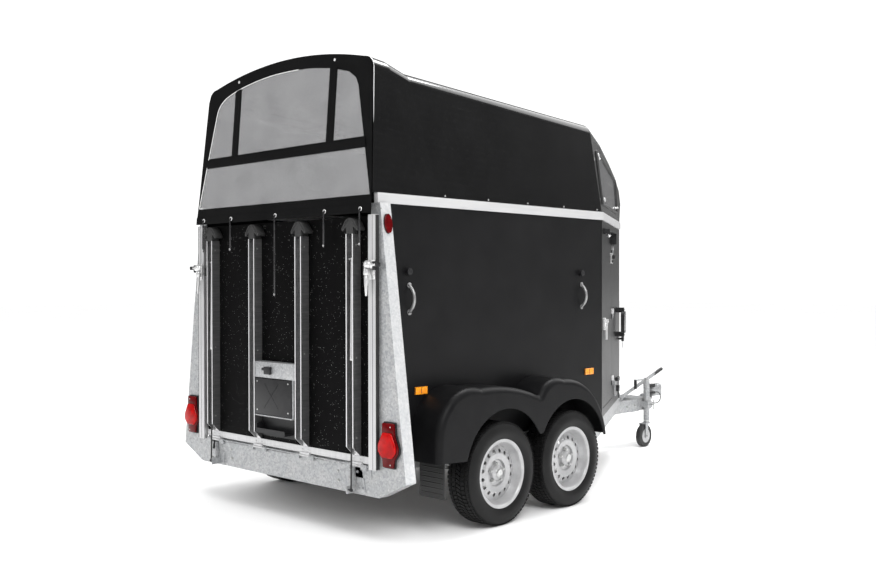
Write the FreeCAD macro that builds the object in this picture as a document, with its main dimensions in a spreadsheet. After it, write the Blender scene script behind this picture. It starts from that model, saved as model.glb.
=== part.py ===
import FreeCAD, Part
import math
import os
import re
import Sketcher

# Horse trailer for two horses: galvanised chassis, black walls, a moulded hood,
# a loading ramp at the back and an entry door in the slanted front wall.
# Millimetres, +Z up, +Y towards the towing vehicle, +X to the right hand side.
# The origin lies on the ground under the middle of the whole trailer.
# Inside this file y is measured forward from the back face of the rear portal.

Vector = FreeCAD.Vector
document = FreeCAD.newDocument("HorseTrailer")
sheet = document.addObject("Spreadsheet::Sheet", "Sizes")

# name, millimetres or degrees, meaning
driving_sizes = [
    ("coupling_reach", 1030, "centre front wall to the coupling's nose"),
    ("ramp_reach", 85, "ramp lamp behind the rear portal"),
    ("body_half", 860, "outer face of the side walls"),
    ("wall_skin", 20, "side and front walls"),
    ("wall_bottom", 500, "lower edge of the walls"),
    ("rail_bottom", 1934, "lower edge of the belt rail"),
    ("rail_height", 58, "belt rail"),
    ("rail_stand", 10, "belt rail outside the walls"),
    ("corner_y", 2232, "front corner of the side walls"),
    ("nose_half", 226, "half width of the centre front wall"),
    ("nose_y", 3430, "centre front wall"),
    ("frame_height", 70, "perimeter beam under the walls"),
    ("frame_width", 50, "perimeter beam"),
    ("steel", 4, "galvanised sheet"),
    ("floor_skin", 20, "floor panel"),
    ("floor_drop", 20, "floor below the lower edge of the walls"),
    ("beam_height", 105, "main rails and drawbar"),
    ("beam_width", 50, "main rails and drawbar"),
    ("rail_half", 560, "centre of the main rails"),
    ("cross_width", 40, "cross members"),
    ("portal_depth", 80, "folded edge of the rear portal"),
    ("portal_bottom", 272, "lower edge of the rear portal"),
    ("portal_top_half", 893, "half width of the portal at its top"),
    ("portal_foot_half", 1094, "half width of the portal at its foot"),
    ("portal_foot", 375, "height of the portal's lower corners"),
    ("portal_toe_half", 878, "half width of the portal's lower edge"),
    ("opening_half", 820, "half width of the ramp opening"),
    ("sill_top", 430, "upper edge of the portal under the ramp"),
    ("post_width", 62, "posts beside the ramp"),
    ("post_depth", 25, "posts beside the ramp"),
    ("ramp_gap", 8, "ramp to posts"),
    ("ramp_skin", 28, "ramp panel"),
    ("ramp_bottom", 458, "lower edge of the ramp"),
    ("ramp_top", 1862, "upper edge of the ramp"),
    ("hinge_back", 10, "hinge axis behind the portal"),
    ("hinge_up", 440, "height of the ramp's hinge axis"),
    ("pin_radius", 5, "ramp hinge pin"),
    ("knuckle_radius", 9, "ramp hinge knuckles"),
    ("pin_play", 0.3, "round play at pins"),
    ("knuckle_length", 90, "ramp hinge knuckles"),
    ("profile_depth", 60, "ramp profiles"),
    ("profile_width", 62, "ramp profiles"),
    ("profile_lip", 8, "ramp profiles"),
    ("profile_skin", 3, "ramp profiles"),
    ("profile_top", 1762, "upper end of the ramp profiles"),
    ("profile_outer", 700, "outer ramp profiles from the middle"),
    ("profile_inner", 234, "inner ramp profiles from the middle"),
    ("wheel_radius", 317, "tyre"),
    ("tyre_width", 195, "tyre"),
    ("bead_radius", 194, "tyre on its rim"),
    ("flange_radius", 211, "rim"),
    ("rim_width", 166, "rim"),
    ("rim_skin", 5, "rim"),
    ("track_half", 990, "middle of the wheels"),
    ("rear_wheel_y", 849, "rear wheels"),
    ("front_wheel_y", 1559, "front wheels"),
    ("hub_radius", 31, "centre hole and cap"),
    ("stub_radius", 20, "stub axle"),
    ("stub_end", 36, "bottom of the hub's bore outside the wheel's middle"),
    ("hub_depth", 62, "hub inside the wheel's middle"),
    ("drum_radius", 130, "brake drum"),
    ("axle_up", 285, "height of the axle tubes"),
    ("axle_radius", 39, "axle tubes"),
    ("arm_reach", 160, "swing arms, axle to wheel"),
    ("guard_reach", 238, "mudguards outside the walls"),
    ("guard_skin", 5, "mudguards"),
    ("guard_round", 42, "outer edge of the mudguards"),
    ("guard_radius", 372, "wheel openings of the mudguards"),
    ("guard_low", 440, "lower edge of the mudguards"),
    ("guard_crown", 549, "top of the mudguards above the wheels' middle"),
    ("guard_tail", 608, "mudguards behind the rear wheels' middle"),
    ("guard_lead", 410, "mudguards before the front wheels' middle"),
    ("flap_back", 505, "mudflaps behind the rear wheels' middle"),
    ("flap_bottom", 235, "lower edge of the mudflaps"),
    ("flap_height", 330, "mudflaps"),
    ("flap_width", 200, "mudflaps"),
    ("flap_skin", 6, "mudflaps"),
    ("hood_skin", 6, "hood"),
    ("hood_crown", 2870, "top of the hood's rear band"),
    ("hood_shoulder", 2780, "shoulder of the hood's rear band"),
    ("ball_up", 455, "height of the tow ball's centre"),
    ("ball_radius", 25, "tow ball"),
    ("jockey_x", 130, "jockey wheel tube"),
    ("jockey_back", 440, "jockey wheel tube behind the coupling's nose"),
    ("jockey_wheel_radius", 100, "jockey wheel"),
    ("strut_pin_up", 300, "lower pins of the gas struts"),
    ("strut_pin_back", 50, "lower pins of the gas struts"),
    ("strut_eye_up", 1620, "upper pins of the gas struts"),
    ("strut_eye_back", 32, "upper pins of the gas struts"),
    ("strut_radius", 13, "gas strut tubes"),
    ("rod_radius", 5, "gas strut rods"),
    ("door_start", 70, "entry door from the front corner"),
    ("door_width", 640, "entry door's opening"),
    ("door_lift", 60, "entry door above the lower edge of the walls"),
    ("door_height", 1324, "entry door's opening"),
    ("door_gap", 5, "entry door to its opening"),
    ("window_start", 100, "nose window from the front corner"),
    ("window_width", 1050, "nose window"),
    ("window_lift", 63, "nose window above the belt rail's top"),
    ("window_height", 405, "nose window at its rear end"),
    ("window_fall", 130, "nose window lower at its front end"),
    ("handle_rear", 262, "rear grab handles from the rear portal"),
    ("handle_front", 1978, "front grab handles from the rear portal"),
    ("handle_low", 1310, "lower feet of the grab handles"),
    ("handle_high", 1470, "upper feet of the grab handles"),
    ("handle_stand", 42, "grab handles outside the walls"),
    ("handle_radius", 9, "grab handles"),
    ("marker_along", 1010, "front marker lamp from the front corner"),
    ("marker_up", 1066, "lower edge of the front marker lamp"),
    ("marker_width", 130, "front marker lamp"),
    ("marker_height", 176, "front marker lamp"),
    ("marker_stand", 44, "front marker lamp outside the wall"),
    ("marker_skin", 30, "front marker lamp"),
    ("knob_along", 1250, "hook knob from the front corner"),
    ("knob_up", 1007, "hook knob"),
    ("holder_along", 880, "plug holder from the front corner"),
    ("holder_up", 560, "plug holder"),
    ("holder_width", 90, "plug holder"),
    ("holder_height", 130, "plug holder"),
    ("divider_up", 720, "lower edge of the divider"),
    ("divider_height", 1050, "divider"),
    ("divider_skin", 24, "divider"),
    ("stall_back", 330, "divider's rear post"),
    ("stall_lead", 60, "divider's front post before the front corners"),
    ("chest_bar_up", 1180, "bar in front of the horses"),
    ("breech_bar_up", 1080, "bar behind the horses"),
    ("bar_radius", 22, "bars across the stalls"),
    ("strut_tube", 560, "length of the gas strut tubes"),
    ("seat_gap", 0.3, "faces that touch"),
]
for row, (alias, amount, meaning) in enumerate(driving_sizes, start=1):
    sheet.set(f"A{row}", alias)
    sheet.set(f"B{row}", str(amount))
    sheet.set(f"C{row}", meaning)
    sheet.setAlias(f"B{row}", alias)
document.recompute()
aliases = {alias for alias, amount, meaning in driving_sizes}


class Sizes:
    """The sheet's numbers as plain values."""


size = Sizes()
for alias in aliases:
    setattr(size, alias, float(sheet.get(alias)))


def formula(text):
    """An expression in which each size name points into the sheet."""
    return re.sub(r"[a-z][a-z_]+", lambda word: prefixed(word.group(0)), str(text))


def prefixed(word):
    return f"Sizes.{word}" if word in aliases else word


def bind(thing, **terms):
    """Binds properties to expressions; a double underscore stands for a dot."""
    for path, text in terms.items():
        thing.setExpression(path.replace("__", "."), formula(text))


coupling_text = "(nose_y + coupling_reach)"
jockey_text = f"({coupling_text} - jockey_back)"


def place(thing, x="0", y="0", z="0"):
    """Sets a sub-part down; y counts forward from the back of the portal."""
    bind(thing, Placement__Base__x=x, Placement__Base__y=f"(ramp_reach - {coupling_text}) / 2 + {y}",
         Placement__Base__z=z)


def label(thing, name):
    thing.Label = name
    return thing


def block(name, x, y, z, dx, dy, dz):
    """A box from its least corner and its three lengths, all as expressions."""
    box = label(document.addObject("Part::Box", "Block"), name)
    bind(box, Length=dx, Width=dy, Height=dz)
    place(box, x, y, z)
    return box


def rod(name, x, y, z, radius, length, axis):
    """A cylinder from the middle of its first end along the axis vector."""
    cylinder = label(document.addObject("Part::Cylinder", "Rod"), name)
    cylinder.Placement = FreeCAD.Placement(Vector(), FreeCAD.Rotation(Vector(0, 0, 1), axis))
    bind(cylinder, Radius=radius, Height=length)
    place(cylinder, x, y, z)
    return cylinder


def joined(name, parts):
    fuse = label(document.addObject("Part::MultiFuse", "Joined"), name)
    fuse.Shapes = parts
    return fuse


def grouped(name, parts):
    group = label(document.addObject("Part::Compound", "Group"), name)
    group.Links = parts
    return group


def cut(name, base, tool):
    cutting = label(document.addObject("Part::Cut", "Cut"), name)
    cutting.Base = base
    cutting.Tool = tool
    return cutting


def mirrored(name, source):
    """The same piece on the other side of the middle plane."""
    mirror = label(document.addObject("Part::Mirroring", "Mirror"), name)
    mirror.Source = source
    mirror.Base = Vector(0, 0, 0)
    mirror.Normal = Vector(1, 0, 0)
    return mirror


def feature(name, shape, y=0.0):
    """A free form made by code, set down like every other sub-part."""
    thing = label(document.addObject("Part::Feature", "Form"), name)
    thing.Shape = shape
    seat = FreeCAD.Placement(Vector(0, portal_y + y, 0), FreeCAD.Rotation())
    thing.Placement = seat.multiply(shape.Placement)
    return thing


coupling_front = size.nose_y + size.coupling_reach
portal_y = (size.ramp_reach - coupling_front) / 2
jockey_y = coupling_front - size.jockey_back
along_x = Vector(1, 0, 0)
along_y = Vector(0, 1, 0)
along_z = Vector(0, 0, 1)


def origin_plane(body, role):
    return next(item for item in body.Origin.OriginFeatures if item.Role == role)


def ring_point(index, count):
    turn = 2 * math.pi * index / count
    return Vector(100 * math.cos(turn), 100 * math.sin(turn), 0)


def draw(body, plane, outlines, offset="0"):
    """A sketch of closed outlines whose corners are bound to the sheet."""
    sketch = body.newObject("Sketcher::SketchObject", "Outline")
    sketch.AttachmentSupport = [(origin_plane(body, plane), "")]
    sketch.MapMode = "FlatFace"
    sketch.setExpression("AttachmentOffset.Base.z", formula(offset))
    first = 0
    for corners in outlines:
        count = len(corners)
        for index in range(count):
            start, end = ring_point(index, count), ring_point(index + 1, count)
            sketch.addGeometry(Part.LineSegment(start, end), False)
        for index in range(count):
            following = first + (index + 1) % count
            sketch.addConstraint(Sketcher.Constraint("Coincident", first + index, 2, following, 1))
        for index, corner in enumerate(corners):
            for kind, text in zip(("DistanceX", "DistanceY"), corner):
                spot = first + index
                number = sketch.addConstraint(Sketcher.Constraint(kind, -1, 1, spot, 1, 50.0))
                title = f"{kind}{spot}"
                sketch.renameConstraint(number, title)
                sketch.setExpression(f"Constraints.{title}", formula(text))
        first += count
    return sketch


def plate(name, plane, outlines, depth, offset="0", backwards=False, y="0"):
    """A padded outline; planes XY, XZ (normal -Y) and YZ (normal +X)."""
    body = label(document.addObject("PartDesign::Body", "Plate"), name)
    pad = body.newObject("PartDesign::Pad", "Pad")
    pad.Profile = draw(body, plane, outlines, offset)
    pad.Reversed = backwards
    bind(pad, Length=depth)
    body.Tip = pad
    place(body, y=y)
    return body


def pocket(body, plane, outlines, depth, offset="0", backwards=False):
    hollow = body.newObject("PartDesign::Pocket", "Pocket")
    hollow.Profile = draw(body, plane, outlines, offset)
    hollow.Reversed = backwards
    bind(hollow, Length=depth)
    body.Tip = hollow
    return body


def mirror_outline(corners):
    """The same corners on the left hand side, in reverse order."""
    return [(f"-({across})", up) for across, up in reversed(corners)]


# The walls follow one plan outline: side, slanted front, narrow centre front.
slant = math.atan2(size.body_half - size.nose_half, size.nose_y - size.corner_y)
slant_text = "atan2(body_half - nose_half; nose_y - corner_y)"
slant_along = Vector(-math.sin(slant), math.cos(slant), 0)
slant_out = Vector(math.cos(slant), math.sin(slant), 0)


def corner_at(inset):
    """The front side corner of the plan, moved inwards, as x and y expressions."""
    return f"body_half - ({inset})", f"corner_y - ({inset}) * tan({slant_text} / 2)"


def nose_at(inset):
    """The nose corner of the plan, moved inwards, as x and y expressions."""
    turn = f"tan((90 - {slant_text} / 1deg) / 2 * 1deg)"
    return f"nose_half - ({inset}) * {turn}", f"nose_y - ({inset})"


def plan_loop(inset, back):
    """The whole closed plan outline, moved inwards and ending at the back."""
    corner = corner_at(inset)
    nose = nose_at(inset)
    right = [(corner[0], back), corner, nose]
    return right + mirror_outline(right)


def plan_band(outer, inner, back):
    """The plan outline as a band between two insets, open at the back."""
    right = [(corner_at(outer)[0], back), corner_at(outer), nose_at(outer)]
    inside = [(corner_at(inner)[0], back), corner_at(inner), nose_at(inner)]
    return right + mirror_outline(right) + mirror_outline(inside)[::-1] + inside[::-1]


def right_part(inner, outer, start, end):
    """The strip of the right hand plan between two insets."""
    return [start(outer), end(outer), end(inner), start(inner)]


def slant_point(along, out, up=0.0):
    """A point on the slanted right front wall, in portal coordinates."""
    base = Vector(size.body_half, size.corner_y, up)
    return base + slant_along * along + slant_out * out


def slant_block(along, out, up, length, depth, height):
    """A box standing on the slanted right front wall."""
    box = Part.makeBox(length, depth, height)
    turn = math.degrees(math.atan2(slant_along.y, slant_along.x))
    box.Placement = FreeCAD.Placement(slant_point(along, out + depth, up), FreeCAD.Rotation(along_z, turn))
    return box


# Chassis
frame_back = "ramp_skin + ramp_gap"
ring = plate("Ring", "XY_Plane", [plan_loop("rail_stand / 5", frame_back),
                                  plan_loop("frame_width", f"{frame_back} + frame_width")],
             "frame_height", "wall_bottom - frame_height")
hollow_ring = plate("RingHollow", "XY_Plane",
                    [plan_loop("rail_stand / 5 + steel", f"{frame_back} + steel"),
                     plan_loop("frame_width + steel", f"{frame_back} + frame_width + steel")],
                    "frame_height - 2 * steel", "wall_bottom - frame_height + steel")
chassis_frame = cut("chassis_frame", ring, hollow_ring)
member_half = "(body_half - frame_width - seat_gap)"
member_parts = []
member_low = "wall_bottom - frame_height"
member_places = {"rear": 160, "axle": 620, "middle": 1180, "front": 1890, "corner": 2170}
for number, cross_y in enumerate(member_places.values()):
    member_parts.append(block(f"Cross{number}", f"-{member_half}", f"{cross_y}", member_low,
                              f"2 * {member_half}", "cross_width", "frame_height - floor_skin - floor_drop"))
for side in ("", "-"):
    member_parts.append(block(f"Rail{side}", f"{side}rail_half - beam_width / 2", "steel",
                              "wall_bottom - frame_height - beam_height", "beam_width",
                              "corner_y", "beam_height"))
chassis_members = joined("chassis_members", member_parts)

# The drawbar's two beams run under the slanted walls, then side by side to the overrun unit.
overrun_half = 50
beam_floor = "wall_bottom - frame_height - beam_height"
inner_shift = f"beam_width / cos({slant_text})"
start_y = "(corner_y + 2 * steel + seat_gap)"
start_x = f"(body_half - 60 - ({start_y} - corner_y) * tan({slant_text}))"
drawbar_right = [
    (start_x, start_y),
    (f"{overrun_half} + beam_width",
     f"({start_y} + ({start_x} - {overrun_half} - beam_width) / tan({slant_text}))"),
    (f"{overrun_half} + beam_width", f"{jockey_text} + 130"),
    (f"{overrun_half} + seat_gap", f"{jockey_text} + 130"),
    (f"{overrun_half} + seat_gap",
     f"({start_y} + ({start_x} - {inner_shift} - {overrun_half} - seat_gap) / tan({slant_text}))"),
    (f"{start_x} - {inner_shift}", start_y),
]
right_beam = plate("RightBeam", "XY_Plane", [drawbar_right], "beam_height", beam_floor)
left_beam = mirrored("LeftBeam", right_beam)
tie_plate = block("TiePlate", f"-{overrun_half} - beam_width", f"{jockey_text} - 200",
                  f"{beam_floor} - steel", f"2 * {overrun_half} + 2 * beam_width", "120", "steel")
drawbar = joined("drawbar", [right_beam, left_beam, tie_plate])

# Floor
floor_panel = plate("floor_panel", "XY_Plane",
                    [plan_loop("frame_width + seat_gap", f"{frame_back} + frame_width + seat_gap")],
                    "floor_skin", "wall_bottom - floor_drop - floor_skin")

# Walls
side_wall_right = block("side_wall_right", "body_half - wall_skin", "steel + seat_gap", "wall_bottom",
                        "wall_skin", f"corner_y - wall_skin * tan({slant_text} / 2) - steel - seat_gap",
                        "rail_bottom - wall_bottom")
side_wall_left = mirrored("side_wall_left", side_wall_right)
wall_height = "rail_bottom - wall_bottom"
front_wall_centre = plate("front_wall_centre", "XY_Plane",
                          [[nose_at("0"), nose_at("wall_skin")]
                           + mirror_outline([nose_at("0"), nose_at("wall_skin")])],
                          wall_height, "wall_bottom")
slant_wall = plate("SlantWall", "XY_Plane", [right_part("wall_skin", "0", corner_at, nose_at)],
                   wall_height, "wall_bottom")
front_wall_left = mirrored("front_wall_left", slant_wall)

door_bottom = size.wall_bottom + size.door_lift
door_top = door_bottom + size.door_height
door_end = size.door_start + size.door_width
doorway = feature("Doorway", slant_block(size.door_start, -2 * size.wall_skin, door_bottom, size.door_width,
                                         3 * size.wall_skin, size.door_height))
front_wall_right = cut("front_wall_right", slant_wall, doorway)
door_leaf = slant_block(size.door_start + size.door_gap, -size.wall_skin, door_bottom + size.door_gap,
                        size.door_width - 2 * size.door_gap, size.wall_skin,
                        size.door_height - 2 * size.door_gap)
entry_door = feature("entry_door", door_leaf)

belt_rail = plate("belt_rail", "XY_Plane", [plan_band("-rail_stand", "wall_skin", "steel + seat_gap")],
                  "rail_height", "rail_bottom")

# Rear portal: a folded sheet whose wings widen downwards
wing_slope = "(portal_foot_half - portal_top_half) / (rail_bottom - portal_foot)"
wing = [
    ("portal_top_half", "rail_bottom"),
    ("portal_foot_half", "portal_foot"),
    ("portal_toe_half", "portal_bottom"),
]
notch = [
    ("-opening_half", "rail_bottom"),
    ("-opening_half", "sill_top"),
    ("opening_half", "sill_top"),
    ("opening_half", "rail_bottom"),
]
inside_wing = [
    (f"portal_top_half - steel - frame_width * {wing_slope}", "rail_bottom + frame_width"),
    ("portal_foot_half - steel", "portal_foot + steel / 2"),
    ("portal_toe_half - steel", "portal_bottom + steel"),
]
rear_portal = plate("rear_portal", "XZ_Plane", [wing + mirror_outline(wing) + notch], "portal_depth",
                    backwards=True)
pocket(rear_portal, "XZ_Plane", [inside_wing + mirror_outline(inside_wing)], "portal_depth",
       offset="-steel", backwards=False)
door_posts = grouped("door_posts", [
    block(f"Post{side}", x, "-post_depth", "sill_top", "post_width", "post_depth - seat_gap",
          "ramp_top + seat_gap * 20 - sill_top")
    for side, x in (("Right", "opening_half"), ("Left", "-opening_half - post_width"))
])

# Ramp hinge: fixed pin and knuckles on the portal, moving knuckles on the ramp
profile_rows = ["-profile_outer", "-profile_inner", "profile_inner", "profile_outer"]
hinge_parts = [rod("Pin", "-opening_half + 2 * ramp_gap", "-hinge_back", "hinge_up", "pin_radius",
                   "2 * opening_half - 4 * ramp_gap", along_x)]
for number, across in enumerate(profile_rows):
    for side, start in (("Right", f"{across} + knuckle_length / 2 + pin_play"),
                        ("Left", f"{across} - knuckle_length - pin_play")):
        hinge_parts.append(rod(f"Fixed{side}{number}", start, "-hinge_back", "hinge_up", "knuckle_radius",
                               "knuckle_length / 2", along_x))
        hinge_parts.append(block(f"Web{side}{number}", start, "-hinge_back - knuckle_radius",
                                 "hinge_up - 2.5 * knuckle_radius", "knuckle_length / 2",
                                 "hinge_back + knuckle_radius", "2.5 * knuckle_radius"))
hinge_parts.append(block("Leaf", "-opening_half", "-steel", "hinge_up - 70", "2 * opening_half",
                         "steel", "70 - knuckle_radius - 2 * pin_play"))
hinge_solid = joined("HingeSolid", hinge_parts)

# Ramp
ramp_half = "(opening_half - ramp_gap)"
ramp_panel = block("ramp_panel", f"-{ramp_half}", "0", "ramp_bottom", f"2 * {ramp_half}", "ramp_skin",
                   "ramp_top - ramp_bottom")
moving_parts = [block("FootRail", f"-{ramp_half}", "-steel", "ramp_bottom - steel", f"2 * {ramp_half}",
                      "ramp_skin + steel", "steel"),
                block("FootFace", f"-{ramp_half}", "-steel", "ramp_bottom - steel",
                      f"2 * {ramp_half}", "steel", "40")]
for number, across in enumerate(profile_rows):
    moving_parts.append(rod(f"Moving{number}", f"{across} - knuckle_length / 2", "-hinge_back", "hinge_up",
                            "knuckle_radius", "knuckle_length", along_x))
    moving_parts.append(block(f"Arm{number}", f"{across} - knuckle_length / 2",
                              "-hinge_back - knuckle_radius / 2", "hinge_up", "knuckle_length",
                              "hinge_back + knuckle_radius / 2", "ramp_bottom - hinge_up"))
knuckle_bore = rod("KnuckleBore", "-opening_half", "-hinge_back", "hinge_up", "pin_radius + pin_play",
                   "2 * opening_half", along_x)
ramp_sill = cut("ramp_sill", joined("SillSolid", moving_parts), knuckle_bore)


def profile_section(across):
    """A channel open to the back, with inward lips, seen from above."""
    right = f"{across} + profile_width / 2"
    left = f"{across} - profile_width / 2"
    face = "0"
    edge = "-profile_depth"
    near = f"{face} - profile_skin"
    far = f"{edge} + profile_skin"
    return [
        (right, face), (right, edge), (f"{right} - profile_lip", edge), (f"{right} - profile_lip", far),
        (f"{right} - profile_skin", far), (f"{right} - profile_skin", near),
        (f"{left} + profile_skin", near), (f"{left} + profile_skin", far), (f"{left} + profile_lip", far),
        (f"{left} + profile_lip", edge), (left, edge), (left, face),
    ]


profile_foot = "(ramp_bottom + 37)"
foot_slope = "(0.85 * profile_depth)"
foot_cutter = plate("FootCutter", "YZ_Plane", [[
    ("-steel", f"{profile_foot} - steel"),
    ("-profile_depth - steel", f"{profile_foot} + {foot_slope} + steel"),
    ("-profile_depth - steel", f"{profile_foot} - steel"),
]], "2 * opening_half", "-opening_half")
channels = []
for number, across in enumerate(profile_rows):
    channels.append(plate(f"Channel{number}", "XY_Plane", [profile_section(across)],
                          f"profile_top - {profile_foot}", profile_foot))
for side in ("-", ""):
    channels.append(rod(f"EyePin{side}", f"{side}profile_outer - profile_width / 2 + profile_skin / 2",
                        "-strut_eye_back", "strut_eye_up", "rod_radius",
                        "profile_width - profile_skin", along_x))
ramp_profiles = cut("ramp_profiles", joined("Channels", channels), foot_cutter)


def foot_section(across):
    """A rubber foot with two drooping wings, seen from behind."""
    right = [("8", "ramp_top - 8"), ("30", "ramp_top - 16"), ("72", "ramp_top - 72"),
             ("62", "ramp_top - 86"), ("34", "ramp_top - 62"), ("30", "profile_top")]
    left = [(f"-{x}", z) for x, z in reversed(right)]
    return [(f"{across} + ({x})", z) for x, z in right + left]


ramp_feet = grouped("ramp_feet", [
    plate(f"Foot{number}", "XZ_Plane", [foot_section(across)], "profile_depth", "0")
    for number, across in enumerate(profile_rows)
])

plate_half = "(profile_inner - profile_width / 2)"
plate_holder = grouped("plate_holder", [
    block("LampStrip", f"-{plate_half}", "-profile_depth - 15", "895", f"2 * {plate_half}", "15", "105"),
    block("Board", f"-{plate_half}", "-profile_depth - 5", "660", f"2 * {plate_half}", "5", "235"),
    block("LampHood", "-60", "-ramp_reach", "925", "120", "ramp_reach - profile_depth - 15", "50"),
    block("SidePost", f"{plate_half} - 14", "-profile_depth", "650", "14", "profile_depth", "350"),
    block("SidePostLeft", f"-{plate_half}", "-profile_depth", "650", "14", "profile_depth", "350"),
])
step = joined("Step", [
    block("StepBack", f"-{plate_half} + 10", "-6", "520", f"2 * {plate_half} - 60", "6", "120"),
    block("StepShelf", f"-{plate_half} + 30", "-70", "545", f"2 * {plate_half} - 120", "66", "6"),
    block("StepLip", f"-{plate_half} + 30", "-70", "545", f"2 * {plate_half} - 120", "6", "30"),
    block("StepCheek", f"-{plate_half} + 30", "-70", "545", "6", "66", "60"),
])
ramp_locks = grouped("ramp_locks", [
    joined(f"Lock{side}", [
        block(f"LockBody{side}", body_x, "-post_depth - 40", "1500", "50", "40", "110"),
        block(f"LockHandle{side}", handle_x, "-post_depth - 58", "1410", "14", "20", "150"),
    ])
    for side, body_x, handle_x in (("Right", "opening_half + 8", "opening_half + 20"),
                                   ("Left", "-opening_half - 58", "-opening_half - 34"))
])
ramp_brackets = grouped("ramp_brackets", [step] + [
    block(f"Catch{side}", x, "-24", "1530", "36", "24", "52")
    for side, x in (("Right", "opening_half - ramp_gap - 38"), ("Left", "-opening_half + ramp_gap + 2"))
])

# Gas struts: each tube hangs on the ramp, each rod ends at a bracket on the portal
pin_point = Vector(size.profile_outer, -size.strut_pin_back, size.strut_pin_up)
eye_point = Vector(size.profile_outer, -size.strut_eye_back, size.strut_eye_up)
strut_line = (pin_point - eye_point).normalize()
strut_length = (pin_point - eye_point).Length
eye_radius = size.rod_radius + 7
bore_radius = size.rod_radius + size.pin_play
lug_start = 8.0


def strut_tube_shape():
    tube_start = eye_point + strut_line * lug_start
    tube = Part.makeCylinder(size.strut_radius, size.strut_tube, tube_start, strut_line)
    lug = Part.makeCylinder(eye_radius, 12, eye_point - along_x * 6, along_x)
    solid = tube.fuse(lug).removeSplitter()
    hole = Part.makeCylinder(bore_radius, 40, eye_point - along_x * 20, along_x)
    bore_start = eye_point + strut_line * (eye_radius + 15)
    bore = Part.makeCylinder(bore_radius, size.strut_tube, bore_start, strut_line)
    return solid.cut(hole).cut(bore)


rod_inside = 70.0
bracket_shift = 24.0


def strut_rod_shape():
    visible = strut_length - lug_start - size.strut_tube
    bar = Part.makeCylinder(size.rod_radius, visible + rod_inside, pin_point, -strut_line)
    knob = Part.makeCylinder(eye_radius - 2, 12, pin_point - along_x * 6, along_x)
    stud = Part.makeCylinder(size.rod_radius - 1, bracket_shift - size.seat_gap, pin_point, -along_x)
    return bar.fuse([knob, stud])


strut_tube_right = feature("strut_tube_right", strut_tube_shape())
strut_tube_left = mirrored("strut_tube_left", strut_tube_right)
strut_rod_right = feature("strut_rod_right", strut_rod_shape())
strut_rod_left = mirrored("strut_rod_left", strut_rod_right)
ramp_hinge = grouped("ramp_hinge", [hinge_solid] + [
    joined(f"Bracket{side}", [
        block(f"BracketWeb{side}", web_x, "-strut_pin_back - 14", "strut_pin_up - 22", "steel",
              "strut_pin_back + 14", "44"),
        block(f"BracketFoot{side}", foot_x, "-steel", "portal_bottom + 4", "70", "steel", "85"),
    ])
    for side, web_x, foot_x in (
        ("Right", f"profile_outer - {bracket_shift} - steel", f"profile_outer - {bracket_shift} - 60"),
        ("Left", f"-profile_outer + {bracket_shift}", f"-profile_outer + {bracket_shift} - 10"))
])


def tube_along(path, radius):
    """A round bar along a wire whose runs and arcs are tangent."""
    first = path.Edges[0]
    start = first.valueAt(first.FirstParameter)
    heading = first.tangentAt(first.FirstParameter)
    ring = Part.Wire(Part.makeCircle(radius, start, heading))
    return path.makePipeShell([ring], True, True)


def rounded_path(name, points):
    """Straight runs joined by tangent arcs, each as large as its two runs allow."""
    spots = [Vector(*point) for point in points]
    edges = []
    here = spots[0]
    radii = []
    for before, corner, after in zip(spots, spots[1:], spots[2:]):
        incoming = (corner - before).normalize()
        outgoing = (after - corner).normalize()
        turn = incoming.getAngle(outgoing)
        trim = 0.45 * min((corner - before).Length, (after - corner).Length)
        radii.append(round(trim / math.tan(turn / 2), 1))
        enter = corner - incoming * trim
        leave = corner + outgoing * trim
        bisector = (outgoing - incoming).normalize()
        radius = trim / math.tan(turn / 2)
        middle = corner + bisector * (radius / math.cos(turn / 2) - radius)
        edges.append(Part.LineSegment(here, enter).toShape())
        edges.append(Part.Arc(enter, middle, leave).toShape())
        here = leave
    edges.append(Part.LineSegment(here, spots[-1]).toShape())
    path = Part.Wire(edges)
    print(f"{name}: length {path.Length:.0f}, radii {radii}")
    return path


# Running gear
def turned(name, outline, x, y, z):
    """A body turned about the wheel axis; outline corners are across and radius."""
    body = label(document.addObject("PartDesign::Body", "Turned"), name)
    sketch = draw(body, "XZ_Plane", [outline])
    wheel = body.newObject("PartDesign::Revolution", "Revolution")
    wheel.Profile = sketch
    wheel.ReferenceAxis = (sketch, ["H_Axis"])
    wheel.Angle = 360
    body.Tip = wheel
    place(body, x, y, z)
    return body


def sided(outline, sign):
    """The outline with its outer face to the right or to the left."""
    return [(f"{sign}({across})", radius) for across, radius in outline]


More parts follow.
